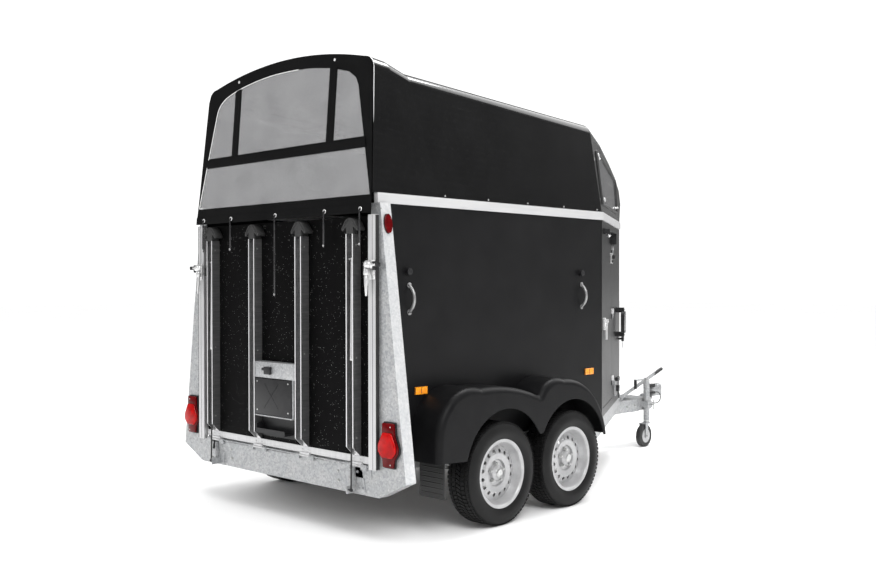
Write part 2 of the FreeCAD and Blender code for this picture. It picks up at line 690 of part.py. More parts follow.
tyre_outline = [
    ("tyre_width * 0.36", "bead_radius + 8"),
    ("rim_width / 2 - rim_skin", "bead_radius + 8"),
    ("rim_width / 2 - rim_skin", "flange_radius + 2"),
    ("tyre_width * 0.46", "flange_radius + 12"),
    ("tyre_width * 0.5", "flange_radius + 42"),
    ("tyre_width * 0.49", "wheel_radius - 42"),
    ("tyre_width * 0.46", "wheel_radius - 20"),
    ("tyre_width * 0.4", "wheel_radius - 5"),
    ("tyre_width * 0.3", "wheel_radius"),
]
tyre_loop = tyre_outline + [(f"-({across})", radius) for across, radius in reversed(tyre_outline)]
rim_outline = [
    ("rim_width / 2", "flange_radius"),
    ("rim_width / 2", "bead_radius"),
    ("rim_width / 2 - 6", "bead_radius - rim_skin - 1"),
    ("rim_width / 2 - 30", "bead_radius - 10 - rim_skin"),
    ("28", "bead_radius - 22 - rim_skin"),
    ("34", "148"),
    ("44", "118"),
    ("38", "84"),
    ("24", "78"),
    ("24", "52"),
    ("42", "46"),
    ("52", "hub_radius"),
    ("58", "hub_radius - 6"),
    ("60", "0"),
    ("stub_end", "0"),
    ("stub_end", "stub_radius + pin_play"),
    ("-hub_depth", "stub_radius + pin_play"),
    ("-hub_depth", "hub_radius + 20"),
    ("0", "60"),
    ("18", "84"),
    ("34", "90"),
    ("38", "118"),
    ("28", "146"),
    ("20", "bead_radius - 22 - rim_skin"),
    ("-rim_width / 2 + 30", "bead_radius - 10 - rim_skin"),
    ("-rim_width / 2 + 6", "bead_radius - rim_skin - 1"),
    ("-rim_width / 2", "bead_radius"),
    ("-rim_width / 2", "flange_radius"),
    ("-rim_width / 2 + rim_skin", "flange_radius"),
    ("-rim_width / 2 + rim_skin", "bead_radius"),
    ("-rim_width / 2 + 34", "bead_radius - 10"),
    ("rim_width / 2 - 34", "bead_radius - 10"),
    ("rim_width / 2 - rim_skin", "bead_radius"),
    ("rim_width / 2 - rim_skin", "flange_radius"),
]
rim_holes = 16
rim_hole_ring = 135.0
rim_hole_radius = 12.0
rim_hole_depth = 120.0


def rim_hole_tool(name, x, y):
    """A ring of round holes through the rim's disc."""
    rods = []
    for index in range(rim_holes):
        turn = 2 * math.pi * (index + 0.5) / rim_holes
        rods.append(rod(f"{name}{index}", f"{x} - {rim_hole_depth / 2}",
                        f"{y} + {rim_hole_ring * math.cos(turn):.3f}",
                        f"wheel_radius + {rim_hole_ring * math.sin(turn):.3f}",
                        f"{rim_hole_radius}", f"{rim_hole_depth}", along_x))
    return grouped(name, rods)


wheel_rows = [("rear", "rear_wheel_y"), ("front", "front_wheel_y")]
side_rows = [("right", ""), ("left", "-")]
wheel_nodes = []
for row_name, wheel_y in wheel_rows:
    for side_name, sign in side_rows:
        spot = (f"{sign}track_half", wheel_y, "wheel_radius")
        tyre = turned(f"tyre_{row_name}_{side_name}", sided(tyre_loop, sign), *spot)
        disc = turned(f"Disc{row_name}{side_name}", sided(rim_outline, sign), *spot)
        holes = rim_hole_tool(f"Holes{row_name}{side_name}", spot[0], wheel_y)
        rim = cut(f"rim_{row_name}_{side_name}", disc, holes)
        wheel_nodes += [tyre, rim]


beam_floor_z = size.wall_bottom - size.frame_height - size.beam_height


def axle_shape(wheel_y):
    """A rubber sprung axle: cross tube, trailing arms, stub axles and brake plates."""
    tube_y = wheel_y + size.arm_reach
    inner = size.body_half - size.frame_width
    arm_face = size.body_half + 22
    parts = [Part.makeCylinder(size.axle_radius, 2 * inner, Vector(-inner, tube_y, size.axle_up), along_x)]
    start = Vector(0, tube_y, size.axle_up)
    end = Vector(0, wheel_y, size.wheel_radius)
    tilt = math.degrees(math.atan2(end.z - start.z, start.y - end.y))
    for sign in (1, -1):
        arm = Part.makeBox(40, (end - start).Length, 56, Vector(-20, 0, -28))
        arm = arm.fuse([Part.makeCylinder(32, 40, Vector(-20, 0, 0), along_x),
                        Part.makeCylinder(34, 40, Vector(-20, (end - start).Length, 0), along_x)])
        arm.rotate(Vector(), along_x, 180 - tilt)
        arm.translate(Vector(sign * (inner + 20), tube_y, size.axle_up))
        parts.append(arm)
        stub_start = Vector(sign * inner, wheel_y, size.wheel_radius)
        stub_length = size.track_half + size.stub_end - size.seat_gap - inner
        parts.append(Part.makeCylinder(size.stub_radius, stub_length, stub_start, along_x * sign))
        plate_start = Vector(sign * (arm_face - 12), wheel_y, size.wheel_radius)
        parts.append(Part.makeCylinder(size.drum_radius, 6, plate_start, along_x * sign))
        rail_start = sign * size.rail_half - size.beam_width / 2
        pad = Part.makeBox(size.beam_width + 20, 90, 8)
        pad.translate(Vector(rail_start - 10, tube_y - 45, beam_floor_z - 8))
        parts.append(pad)
        saddle = Part.makeBox(size.beam_width, 60, beam_floor_z - 8 - size.axle_up)
        saddle.translate(Vector(rail_start, tube_y - 30, size.axle_up))
        parts.append(saddle)
    solid = parts[0].fuse(parts[1:])
    return solid.removeSplitter()


axle_rear = feature("axle_rear", axle_shape(size.rear_wheel_y))
axle_front = feature("axle_front", axle_shape(size.front_wheel_y))


# Mudguards: one moulded piece with two arches, open underneath and towards the wall
guard_mould = 12.0
guard_lift = 30.0
guard_floor = size.guard_low - 140


def arch_points():
    """Corners and arc middles of the mudguard's mould line seen from its side."""
    rear, front = size.rear_wheel_y, size.front_wheel_y
    middle, spread = (rear + front) / 2, front - rear
    up, low, rise = size.wheel_radius, size.guard_low, size.guard_crown
    tail, lead = size.guard_tail, size.guard_lead
    half = math.sqrt(size.guard_radius ** 2 - (up - low) ** 2)
    crown = up + size.guard_radius + guard_lift
    fork = up + 0.384 * rise
    return {
        "tail": (rear - tail, low + 0.022 * rise),
        "tail_up": (rear - 0.987 * tail, low + 0.237 * rise),
        "tail_arc": (rear - 0.83 * tail, up + 0.865 * rise),
        "rear_crown": (rear - 0.33 * tail, up + rise),
        "rear_arc": (rear + 0.113 * spread, up + 0.974 * rise),
        "valley": (middle, up + 0.84 * rise),
        "front_arc": (front - 0.338 * spread, up + 0.996 * rise),
        "front_crown": (front - 0.127 * spread, up + 0.995 * rise),
        "nose_arc": (front + 0.522 * lead, up + 0.818 * rise),
        "nose": (front + lead, low + 0.011 * rise),
        "nose_in": (front + half, low),
        "front_open": (front, crown),
        "fork_front": (middle + 0.034 * spread, fork),
        "fork_rear": (middle - 0.017 * spread, fork),
        "rear_open": (rear, crown),
        "tail_in": (rear - half, low),
    }


class SideView:
    """Lines and arcs between the mudguard's named points at one place across."""

    def __init__(self, x):
        self.x = x
        self.points = arch_points()

    def spot(self, name, z=None):
        y, up = self.points[name]
        return Vector(self.x, y, up if z is None else z)

    def arc(self, start, middle, end):
        return Part.Arc(self.spot(start), self.spot(middle), self.spot(end)).toShape()

    def line(self, start, end):
        return Part.LineSegment(start, end).toShape()

    def top(self):
        return [
            self.line(self.spot("tail"), self.spot("tail_up")),
            self.arc("tail_up", "tail_arc", "rear_crown"),
            self.arc("rear_crown", "rear_arc", "valley"),
            self.arc("valley", "front_arc", "front_crown"),
            self.arc("front_crown", "nose_arc", "nose"),
        ]

    def filled(self):
        """The top line closed far below by a straight floor."""
        tail, nose = self.spot("tail", guard_floor), self.spot("nose", guard_floor)
        front_side = self.line(self.spot("nose"), nose)
        rear_side = self.line(tail, self.spot("tail"))
        return Part.Face(Part.Wire(self.top() + [front_side, self.line(nose, tail), rear_side]))

    def wheel_space(self):
        """What is cut away under the arches and below the lower edges."""
        reach = Vector(0, 100, 0)
        tail, nose = self.spot("tail"), self.spot("nose")
        low_tail, low_nose = self.spot("tail", guard_floor - 50), self.spot("nose", guard_floor - 50)
        edges = [
            self.line(tail - reach, tail),
            self.line(tail, self.spot("tail_in")),
            self.arc("tail_in", "rear_open", "fork_rear"),
            self.line(self.spot("fork_rear"), self.spot("fork_front")),
            self.arc("fork_front", "front_open", "nose_in"),
            self.line(self.spot("nose_in"), nose),
            self.line(nose, nose + reach),
            self.line(nose + reach, low_nose + reach),
            self.line(low_nose + reach, low_tail - reach),
            self.line(low_tail - reach, tail - reach),
        ]
        return Part.Face(Part.Wire(edges))


def outer_edges(solid, x):
    """The edges of the outer face above the wheel centres."""
    return [edge for edge in solid.Edges
            if edge.BoundBox.XMin > x - 0.01 and edge.BoundBox.ZMax > size.wheel_radius + 150]


def mudguard_shape():
    inner_x = size.body_half + size.seat_gap
    guard_half = size.body_half + size.guard_reach
    width = guard_half - inner_x
    view = SideView(inner_x)
    skin = size.guard_skin
    outside = view.filled().makeOffset2D(-guard_mould).extrude(along_x * width)
    outside = outside.makeFillet(size.guard_round, outer_edges(outside, guard_half))
    inside = view.filled().makeOffset2D(-guard_mould - skin).extrude(along_x * (width - skin))
    inside = inside.makeFillet(size.guard_round - skin, outer_edges(inside, guard_half - skin))
    space = view.wheel_space().extrude(along_x * (width + 10))
    inside.translate(Vector(-1, 0, 0))
    space.translate(Vector(-5, 0, 0))
    return outside.cut([inside, space]).removeSplitter()


mudguard_right = feature("mudguard_right", mudguard_shape())
mudguard_left = mirrored("mudguard_left", mudguard_right)
mudflaps = grouped("mudflaps", [
    block(f"Flap{side}", x, "rear_wheel_y - flap_back", "flap_bottom", "flap_width", "flap_skin",
          "flap_height")
    for side, x in (("Right", "body_half + seat_gap"), ("Left", "-body_half - seat_gap - flap_width"))
])


# Hood: one lofted skin from the rear band to the nose, open underneath.
# Each section stands in a plane that leans, and the band's edges are creases.
hood_floor = size.rail_bottom + size.rail_height
shoulder_run = 62.0
band_wider = 10.0
side_tuck = 48.0
shoulder_drop = 82.0
crown_rise = 96.0
rear_lean = -0.08
roof_shoulder = size.hood_shoulder - 58
nose_shoulder = size.hood_shoulder - 155


def plan_half(y):
    """Half the width of the walls' plan at a place along the trailer."""
    return size.body_half - max(0.0, y - size.corner_y) * math.tan(slant)


class Section:
    """One planar arch of the hood."""

    def __init__(self, y, wider, tuck, drop, shoulder, rise, lean):
        self.y, self.wider, self.tuck, self.drop = y, wider, tuck, drop
        self.shoulder, self.rise, self.lean = shoulder, rise, lean

    def at(self, x, z):
        return Vector(x, self.y + self.lean * (self.shoulder - z), z)

    def wire(self, inset, floor, half=None):
        foot_y = self.at(0, floor).y
        foot_half = (half or plan_half(foot_y) + self.wider) - inset
        top_half = foot_half - self.tuck
        run = shoulder_run + top_half * 0.02
        edge = self.shoulder - inset
        side_top = self.shoulder - self.drop
        foot = self.at(foot_half, floor)
        side = self.at(top_half, side_top)
        bow = self.at(top_half - 0.3 * run, side_top + 0.72 * (edge - side_top))
        brow = self.at(top_half - run, edge)
        peak = self.at(0, edge + self.rise)
        other = [Vector(-point.x, point.y, point.z) for point in (foot, side, bow, brow)]
        edges = [
            Part.LineSegment(foot, side).toShape(),
            Part.Arc(side, bow, brow).toShape(),
            Part.Arc(brow, peak, other[3]).toShape(),
            Part.Arc(other[3], other[2], other[1]).toShape(),
            Part.LineSegment(other[1], other[0]).toShape(),
            Part.LineSegment(other[0], foot).toShape(),
        ]
        return Part.Wire(edges)

    def moved(self, y):
        return Section(self.y + y, self.wider, self.tuck, self.drop, self.shoulder, self.rise, self.lean)


# y at the shoulder, wider than the walls, tuck and drop of the side, shoulder, rise of the crown, lean
rear_rise = size.hood_crown - size.hood_shoulder
hood_rows = [
    (31.0, band_wider, side_tuck + 7, shoulder_drop, size.hood_shoulder, rear_rise, rear_lean),
    (143.0, band_wider - 2, side_tuck + 7, shoulder_drop, size.hood_shoulder - 10, 92.0, 0.27),
    (307.0, 0.0, side_tuck, shoulder_drop, roof_shoulder, crown_rise, 0.289),
    (size.corner_y - 84, 0.0, side_tuck, shoulder_drop, nose_shoulder, crown_rise, 0.129),
    (size.corner_y + 298, 0.0, 30.0, 80.0, nose_shoulder - 65, 78.0, 0.08),
    (size.corner_y + 728, 0.0, 22.0, 72.0, nose_shoulder - 150, 62.0, 0.05),
    (size.nose_y - 160, 0.0, 16.0, 62.0, nose_shoulder - 225, 40.0, 0.02),
    (size.nose_y - 10, 0.0, 12.0, 70.0, nose_shoulder - 315, 25.0, -0.08),
    (size.nose_y + 45, 0.0, 8.0, 85.0, nose_shoulder - 410, 20.0, -0.17),
]
hood_sections = [Section(*row) for row in hood_rows]
frame_run = 30.0
frame_thick = 34.0


def lofted(sections, inset, floor):
    return Part.makeLoft([section.wire(inset, floor) for section in sections], True, True)


window_low = hood_floor + size.window_lift


def window_cutter(shrink):
    """The opening in the slanted right side of the hood's nose; its top edge falls forwards."""
    along = [size.window_start + shrink, size.window_start + size.window_width - shrink]
    low = window_low + shrink
    high = window_low + size.window_height - shrink
    corners = [slant_point(along[0], -200, low), slant_point(along[1], -200, low),
               slant_point(along[1], -200, high - size.window_fall), slant_point(along[0], -200, high)]
    return Part.Face(Part.makePolygon(corners + corners[:1])).extrude(slant_out * 280)


def flip(shape):
    return shape.mirror(Vector(), along_x)


skin_outside = lofted(hood_sections, 0, hood_floor)
inside_sections = [hood_sections[0].moved(-60)] + hood_sections[1:-1]
inside_sections.append(hood_sections[-1].moved(-size.hood_skin))
skin_inside = lofted(inside_sections, size.hood_skin, hood_floor - 10)
rear_section = hood_sections[0]
frame_sections = [rear_section, rear_section.moved(frame_run)]
frame_outside = lofted(frame_sections, size.hood_skin / 2, hood_floor)
hollow_sections = [rear_section.moved(-20), rear_section.moved(frame_run + 20)]
frame_inside = lofted(hollow_sections, frame_thick, hood_floor - 10)
rear_frame = frame_outside.cut(frame_inside)
hood_skin = skin_outside.cut(skin_inside).fuse(rear_frame)
cutters = [window_cutter(0), flip(window_cutter(0))]
hood_shell = feature("hood_shell", hood_skin.cut(cutters).removeSplitter())
panes = [skin_outside.cut(skin_inside).common(window_cutter(size.seat_gap))]
panes.append(flip(panes[0]))
nose_windows = feature("nose_windows", Part.Compound(panes))

# Rear tarp, a plain sheet over the opening above the ramp, in the plane of the hood's leaning rear end
tarp_skin = 3.0
tarp_bottom = size.ramp_top + 14
tarp_wire = rear_section.moved(-size.seat_gap).wire(0, tarp_bottom, size.body_half + band_wider)
rear_tarp = feature("rear_tarp", Part.Face(tarp_wire).extrude(Vector(0, -tarp_skin, 0)))

# Lamps and reflectors
lamp_middle = 975.0
lamp_up = 582.0
lamp_outline = [(-48, 127), (48, 127), (50, 60), (80, -8), (80, -40), (46, -82), (44, -127),
                (-44, -127), (-46, -82), (-80, -40), (-80, -8), (-50, 60)]


lamp_middle_outline = [(-36, 74), (36, 74), (72, 0), (72, -38), (42, -72), (-42, -72), (-72, -38), (-72, 0)]


def lens(outline, back, depth, soft):
    """A lens of one outline whose front edge is rounded."""
    corners = [Vector(lamp_middle + x, -back, lamp_up + z) for x, z in outline]
    solid = Part.Face(Part.makePolygon(corners + corners[:1])).extrude(Vector(0, -depth, 0))
    front = [edge for edge in solid.Edges if edge.BoundBox.YMax < -back - depth + 0.1]
    return solid.makeFillet(soft, front)


tail_lamp = lens(lamp_outline, size.seat_gap, 25, 6).fuse(lens(lamp_middle_outline, 20, 18, 8))
tail_lamps = feature("tail_lamps", Part.Compound([tail_lamp, flip(tail_lamp)]))


def oval_lamp():
    """A small oval marker on the outer face of the portal's folded edge."""
    lamp = Part.makeCylinder(26, 16, Vector(), along_x)
    stretch = FreeCAD.Matrix()
    stretch.scale(1, 1, 2.1)
    return lamp.transformGeometry(stretch)


edge_slope = math.atan2(size.portal_foot_half - size.portal_top_half, size.rail_bottom - size.portal_foot)


def on_edge(shape, up):
    """Sets a piece on the sloping outer face of the portal at a height."""
    across = size.portal_top_half + (size.rail_bottom - up) * math.tan(edge_slope)
    shape.rotate(Vector(), along_y, -math.degrees(edge_slope))
    shape.translate(Vector(across + size.seat_gap, size.portal_depth / 2, up))
    return shape


marker = on_edge(oval_lamp(), 1815)
markers = feature("Markers", Part.Compound([marker, flip(marker)]))
reflector_rows = [(305, 850), (2016, 850)]
marker_lamps = grouped("marker_lamps", [markers] + [
    block(f"Reflector{side}{y}", x, f"{y}", f"{z - 22}", "8", "100", "44")
    for y, z in reflector_rows
    for side, x in (("Right", "body_half"), ("Left", "-body_half - 8"))
])


def bow_handle(y, low, high, stand, radius):
    """A round grab handle standing on the side wall."""
    seat = size.body_half + size.seat_gap
    far = Vector(seat + stand, y, (low + high) / 2)
    arc = Part.Arc(Vector(seat - 8, y, low), far, Vector(seat - 8, y, high))
    bow = tube_along(Part.Wire([arc.toShape()]), radius)
    outside = Part.makeBox(2 * stand, 200, high - low + 200, Vector(seat, y - 100, low - 100))
    feet = [Part.makeCylinder(radius + 8, 4, Vector(seat, y, end), along_x) for end in (low + 2, high - 2)]
    return bow.common(outside).fuse(feet).removeSplitter()


handle_places = [size.handle_rear, size.handle_front]
handles = [bow_handle(y, size.handle_low, size.handle_high, size.handle_stand, size.handle_radius)
           for y in handle_places]
knobs = [Part.makeCylinder(21, 24, Vector(size.body_half, y - 15, size.handle_high + 78), along_x)
         for y in handle_places]
right_side = handles + knobs
side_handles = feature("side_handles", Part.Compound(right_side + [flip(piece) for piece in right_side]))

# Entry door hinges outside the slanted wall: the lower half with the pin is fixed, the upper half swings
hinge_along = door_end - size.door_gap / 2
hinge_out = 9.0
hinge_pin = 4.0
hinge_knuckle = 8.0
hinge_half = 40.0
leaf_reach = 36.0
leaf_skin = 3.0
hinge_rows = [door_bottom + share * size.door_height for share in (0.08, 0.48, 0.86)]


def hinge_halves(up):
    """The fixed lower half with its pin, and the upper half on the door."""
    low = slant_point(hinge_along, hinge_out, up)
    middle = up + hinge_half + size.pin_play
    upper = slant_point(hinge_along, hinge_out, middle)
    fixed = Part.makeCylinder(hinge_knuckle, hinge_half, low, along_z).fuse([
        Part.makeCylinder(hinge_pin, 2 * hinge_half, low, along_z),
        slant_block(hinge_along, size.seat_gap, up, leaf_reach, leaf_skin, hinge_half),
    ])
    swinging = Part.makeCylinder(hinge_knuckle, hinge_half, upper, along_z)
    swinging = swinging.fuse(slant_block(hinge_along - leaf_reach, size.seat_gap, middle, leaf_reach,
                                         leaf_skin, hinge_half))
    bore = Part.makeCylinder(hinge_pin + size.pin_play, hinge_half, upper, along_z)
    return fixed.removeSplitter(), swinging.cut(bore).removeSplitter()


fixed_halves, door_halves = zip(*[hinge_halves(up) for up in hinge_rows])

# Entry door furniture on the slanted right wall; each place is along, out and up
bar_skin = 14.0
bar_stand = 46.0
bar_start = size.door_start + 34
bar_length = size.door_width - 100


def slant_rod(along, out, up, radius, length):
    """A round bar standing out of the slanted wall."""
    return Part.makeCylinder(radius, length, slant_point(along, out, up), slant_out)


def softened(shape, radius, picked):
    """The shape with the edges that the test picks rounded."""
    return shape.makeFillet(radius, [edge for edge in shape.Edges if picked(edge)])


def points_out(edge):
    """True for an edge that runs straight out of the slanted wall."""
    run = edge.Vertexes[-1].Point - edge.Vertexes[0].Point
    return abs(run.dot(slant_out)) > 0.99 * run.Length


door_bar = slant_block(bar_start, bar_stand - 16, door_top - 22, bar_length, 16, bar_skin)
door_bar = door_bar.fuse([
    slant_block(bar_start, 0, door_top - 44, bar_skin, bar_stand, 36),
    slant_block(bar_start + bar_length - 22, 0, door_top - 104, 22, bar_stand, 96),
    slant_rod(bar_start + bar_skin / 2, bar_stand - 4, door_top - 50, 11, 8),
])
lock_start = size.door_start + 18
lock_plate = softened(slant_block(lock_start, 0, door_bottom + 570, 70, 12, 92), 8, points_out)
lock_lever = slant_block(lock_start + 52, 12, door_bottom + 500, 12, 14, 150)
lock_lever = lock_lever.fuse(slant_rod(lock_start + 58, 0, door_bottom + 620, 12, 28))
latch_plate = softened(slant_block(door_end - 102, 0, door_top - 254, 70, 10, 84), 8, points_out)
latch_plate = latch_plate.fuse(slant_rod(door_end - 67, 0, door_top - 200, 16, 24))
door_fittings = feature("door_fittings", Part.Compound([
    lock_plate.fuse(lock_lever).removeSplitter(),
    latch_plate.removeSplitter(),
    door_bar.removeSplitter(),
    *door_halves,
]))

# Front marker lamp on two lugs, hook knob and plug holder on the same wall
frame_edge = 16.0
marker_top = size.marker_up + size.marker_height
marker_frame = softened(slant_block(size.marker_along, size.marker_stand, size.marker_up, size.marker_width,
                                    size.marker_skin, size.marker_height), 26, points_out)
marker_hollow = slant_block(size.marker_along + frame_edge, size.marker_stand + 20,
                            size.marker_up + frame_edge, size.marker_width - 2 * frame_edge,
                            size.marker_skin, size.marker_height - 2 * frame_edge)
marker_frame = marker_frame.cut(softened(marker_hollow, 14, points_out))
lug_width = 26.0
lug_along = size.marker_along + (size.marker_width - lug_width) / 2
marker_frame = marker_frame.fuse([
    slant_block(lug_along, 0, size.marker_up - 32, lug_width, size.marker_stand + 22, 40),
    slant_block(lug_along, 0, marker_top - 8, lug_width, size.marker_stand + 22, 40),
])
hook_knob = slant_rod(size.knob_along, 0, size.knob_up, 9, 30).fuse(
    slant_rod(size.knob_along, 28, size.knob_up, 21, 20))
plug_holder = softened(slant_block(size.holder_along, 0, size.holder_up, size.holder_width, 14,
                                   size.holder_height), 12, points_out)
holder_top = size.holder_up + size.holder_height
plug_holder = plug_holder.fuse([
    slant_block(size.holder_along - 10, 10, holder_top - 6, size.holder_width + 20, 30, 26),
])
wall_fittings = feature("wall_fittings", Part.Compound([
    marker_frame.removeSplitter(),
    hook_knob.removeSplitter(),
    plug_holder.removeSplitter(),
    *fixed_halves,
]))

# Overrun unit, coupling head, handbrake lever
overrun_back = jockey_y - 330
overrun_front = jockey_y + 150
housing = Part.makeBox(2 * overrun_half, overrun_front - overrun_back, 105,
                       Vector(-overrun_half, overrun_back, beam_floor_z))
nose_ring = Part.makeCylinder(40, 60, Vector(0, overrun_front, size.ball_up - 40), along_y)
draw_tube = Part.makeCylinder(25, coupling_front - 190 - overrun_front,
                              Vector(0, overrun_front, size.ball_up - 40), along_y)
overrun_unit = feature("overrun_unit", housing.fuse([nose_ring, draw_tube]).removeSplitter())
ball_y = coupling_front - 42.0
neck_back = coupling_front - 190.0
head = Part.makeBox(76, coupling_front - 60 - neck_back, 66, Vector(-38, neck_back, size.ball_up - 33))
cup_floor = size.ball_up - 34
cup = Part.makeCylinder(42, 78, Vector(0, ball_y, cup_floor), along_z)
socket_radius = size.ball_radius + size.seat_gap
socket = Part.makeCylinder(socket_radius, 62, Vector(0, ball_y, cup_floor - 4), along_z)
grip_bar = Part.makeBox(30, 150, 16, Vector(-15, neck_back - 10, size.ball_up + 58))
grip_post = Part.makeBox(30, 30, 28, Vector(-15, coupling_front - 100, size.ball_up + 33))
coupling_head = feature("coupling_head", head.fuse([cup, grip_bar, grip_post]).cut(socket).removeSplitter())
beam_top = beam_floor_z + size.beam_height
lever_x = overrun_half + 14.0
lever_foot = Vector(lever_x, jockey_y - 322, beam_top + 28)
lever_tip = Vector(lever_x, jockey_y + 268, 640)
lever_heading = (lever_tip - lever_foot).normalize()
lever = Part.makeBox(8, (lever_tip - lever_foot).Length, 30, Vector(-4, 0, -15))
lever.rotate(Vector(), along_x, math.degrees(math.atan2(lever_heading.z, lever_heading.y)))
lever.translate(lever_foot)
lever_bracket = Part.makeBox(6, 70, 54, Vector(lever_x - 9.5, lever_foot.y - 20, beam_top))
pivot = Part.makeCylinder(9, 16, lever_foot + Vector(-8, 18, 6), along_x)
grip = Part.makeCylinder(13, 130, lever_tip - lever_heading * 20, lever_heading)
handbrake_lever = feature("handbrake_lever", lever.fuse([lever_bracket, pivot, grip]).removeSplitter())

# Jockey wheel: tube clamped beside the drawbar, winding handle, castor and wheel
tube_low = 212.0
tube_high = 590.0
tube_radius = 28.0
jockey_centre = Vector(size.jockey_x, jockey_y, 0)


def at_jockey(across, forward, up):
    return jockey_centre + Vector(across, forward, up)


beam_face = overrun_half + size.beam_width
clamp_solid = Part.makeBox(size.jockey_x + tube_radius + 9 - beam_face, 2 * tube_radius + 18, 60,
                           Vector(beam_face, jockey_y - tube_radius - 9, beam_floor_z + 25))
tube_hole = Part.makeCylinder(tube_radius + size.seat_gap, 900, at_jockey(0, 0, 100), along_z)
clamp_solid = clamp_solid.cut(tube_hole)
outer_tube = Part.makeCylinder(tube_radius, tube_high - tube_low, at_jockey(0, 0, tube_low), along_z)
tube_cap = Part.makeCylinder(tube_radius - 4, 26, at_jockey(0, 0, tube_high), along_z)
castor_bore = Part.makeCylinder(16 + size.pin_play, 120, at_jockey(0, 0, tube_low), along_z)
crank = Part.makeCylinder(7, 150, at_jockey(0, 0, tube_high + 14), Vector(-0.2, -1, 0))
crank_end = at_jockey(0, 0, tube_high + 14) + Vector(-0.2, -1, 0).normalize() * 142
crank_grip = Part.makeCylinder(12, 80, crank_end - along_z * 80, along_z)
jockey_tube = feature("jockey_tube", outer_tube.cut(castor_bore).fuse([tube_cap, crank, crank_grip]))
trail = 45.0
jockey_r = size.jockey_wheel_radius
tyre_half = 24.0
fork_gap = 5.0
castor_plate = Part.makeBox(2 * tyre_half + 2 * fork_gap + 10, trail + 50, 6,
                            at_jockey(-tyre_half - fork_gap - 5, -trail - 25, tube_low - 6.3))
fork_leg = Part.makeBox(5, 40, tube_low - jockey_r + 14)
fork_legs = []
for side in (-tyre_half - fork_gap - 5, tyre_half + fork_gap):
    leg = fork_leg.copy()
    leg.translate(at_jockey(side, -trail - 20, jockey_r - 20))
    fork_legs.append(leg)
castor_pin = Part.makeCylinder(6, 2 * tyre_half + 2 * fork_gap + 10,
                               at_jockey(-tyre_half - fork_gap - 5, -trail, jockey_r), along_x)
castor_stem = Part.makeCylinder(16, 110, at_jockey(0, 0, tube_low - 3), along_z)
castor = castor_plate.fuse(fork_legs + [castor_pin, castor_stem])
jockey_fork = feature("jockey_fork", castor.removeSplitter())
hub_start = at_jockey(-tyre_half, -trail, jockey_r)
jockey_tread = Part.makeCylinder(jockey_r, 2 * tyre_half, hub_start, along_x)
jockey_bore = Part.makeCylinder(6 + size.pin_play, 2 * tyre_half, hub_start, along_x)
jockey_wheel = feature("jockey_wheel", jockey_tread.makeFillet(9, jockey_tread.Edges).cut(jockey_bore))

# Electric lead and its plug, parked in a holder on the drawbar
lead_radius = 4.5
wire_radius = 1.5
plug_x = beam_face + 18
plug_back = Vector(plug_x, jockey_y + 46, 472)
plug_heading = along_y
plug_body = Part.makeCylinder(26, 62, plug_back, plug_heading)
plug_neck = Part.makeCylinder(17, 46, plug_back + plug_heading * 61, plug_heading)
tow_plug = feature("tow_plug", plug_body.fuse(plug_neck).removeSplitter())
plug_end = plug_back + plug_heading * 107
holder = Part.makeBox(46, 12, 90, Vector(beam_face - 20, plug_back.y - 12.3, beam_top))
drawbar_brackets = feature("drawbar_brackets", Part.Compound([clamp_solid, holder]))
lead_points = [
    (118, plug_end.y + size.seat_gap, 472),
    (118, 4226, 474),
    (118, 4270, 456),
    (118, 4288, 414),
    (117, 4262, 378),
    (108, 4218, 366),
    (86, 4182, 374),
    (80, jockey_y + 131, 378),
]
tow_cable = feature("tow_cable", tube_along(rounded_path("tow_cable", lead_points), lead_radius))
wire_points = [
    (75, 3800, beam_floor_z - 1.2),
    (75, 3812, 303),
    (75, 3850, 289),
    (75, 3905, 286),
    (75, 3950, 301),
    (75, 3972, beam_floor_z - 1.2),
]
wire_path = rounded_path("breakaway_wire", wire_points)
breakaway_wire = feature("breakaway_wire", tube_along(wire_path, wire_radius))

# Divider between the two stalls and the bars in front of and behind the horses
floor_z = size.wall_bottom - size.floor_drop
stall_front = size.corner_y + size.stall_lead
stall_back = size.stall_back
inner_half = size.body_half - size.wall_skin
divider_top = size.divider_up + size.divider_height
divider = Part.makeBox(size.divider_skin, stall_front - stall_back, size.divider_height,
                       Vector(-size.divider_skin / 2, stall_back, size.divider_up))
post_rows = [
    (stall_front, size.bar_radius + 4, divider_top + 130),
    (stall_back, size.bar_radius - 2, divider_top),
]
posts = [Part.makeCylinder(radius, top - floor_z, Vector(0, post_y, floor_z), along_z)
         for post_y, radius, top in post_rows]
bars = [Part.makeCylinder(size.bar_radius, 2 * inner_half, Vector(-inner_half, bar_y, bar_up), along_x)
        for bar_y, bar_up in ((stall_front - 90, size.chest_bar_up), (stall_back + 60, size.breech_bar_up))]
partition = feature("partition", divider.fuse(posts + bars).removeSplitter())

nodes = [
    chassis_frame, chassis_members, drawbar, floor_panel, axle_rear, axle_front, *wheel_nodes,
    rear_portal, door_posts, side_wall_right, side_wall_left,
    front_wall_right, front_wall_centre, front_wall_left, belt_rail,
    hood_shell, nose_windows, rear_tarp, entry_door, door_fittings, wall_fittings,
    ramp_hinge, ramp_panel, ramp_sill, ramp_profiles, ramp_feet, plate_holder, ramp_brackets, ramp_locks,
    strut_tube_right, strut_tube_left, strut_rod_right, strut_rod_left,
    mudguard_right, mudguard_left, mudflaps, tail_lamps, marker_lamps, side_handles, partition,
    overrun_unit, coupling_head, handbrake_lever,
    drawbar_brackets, jockey_tube, jockey_fork, jockey_wheel,
    tow_plug, tow_cable, breakaway_wire,
]

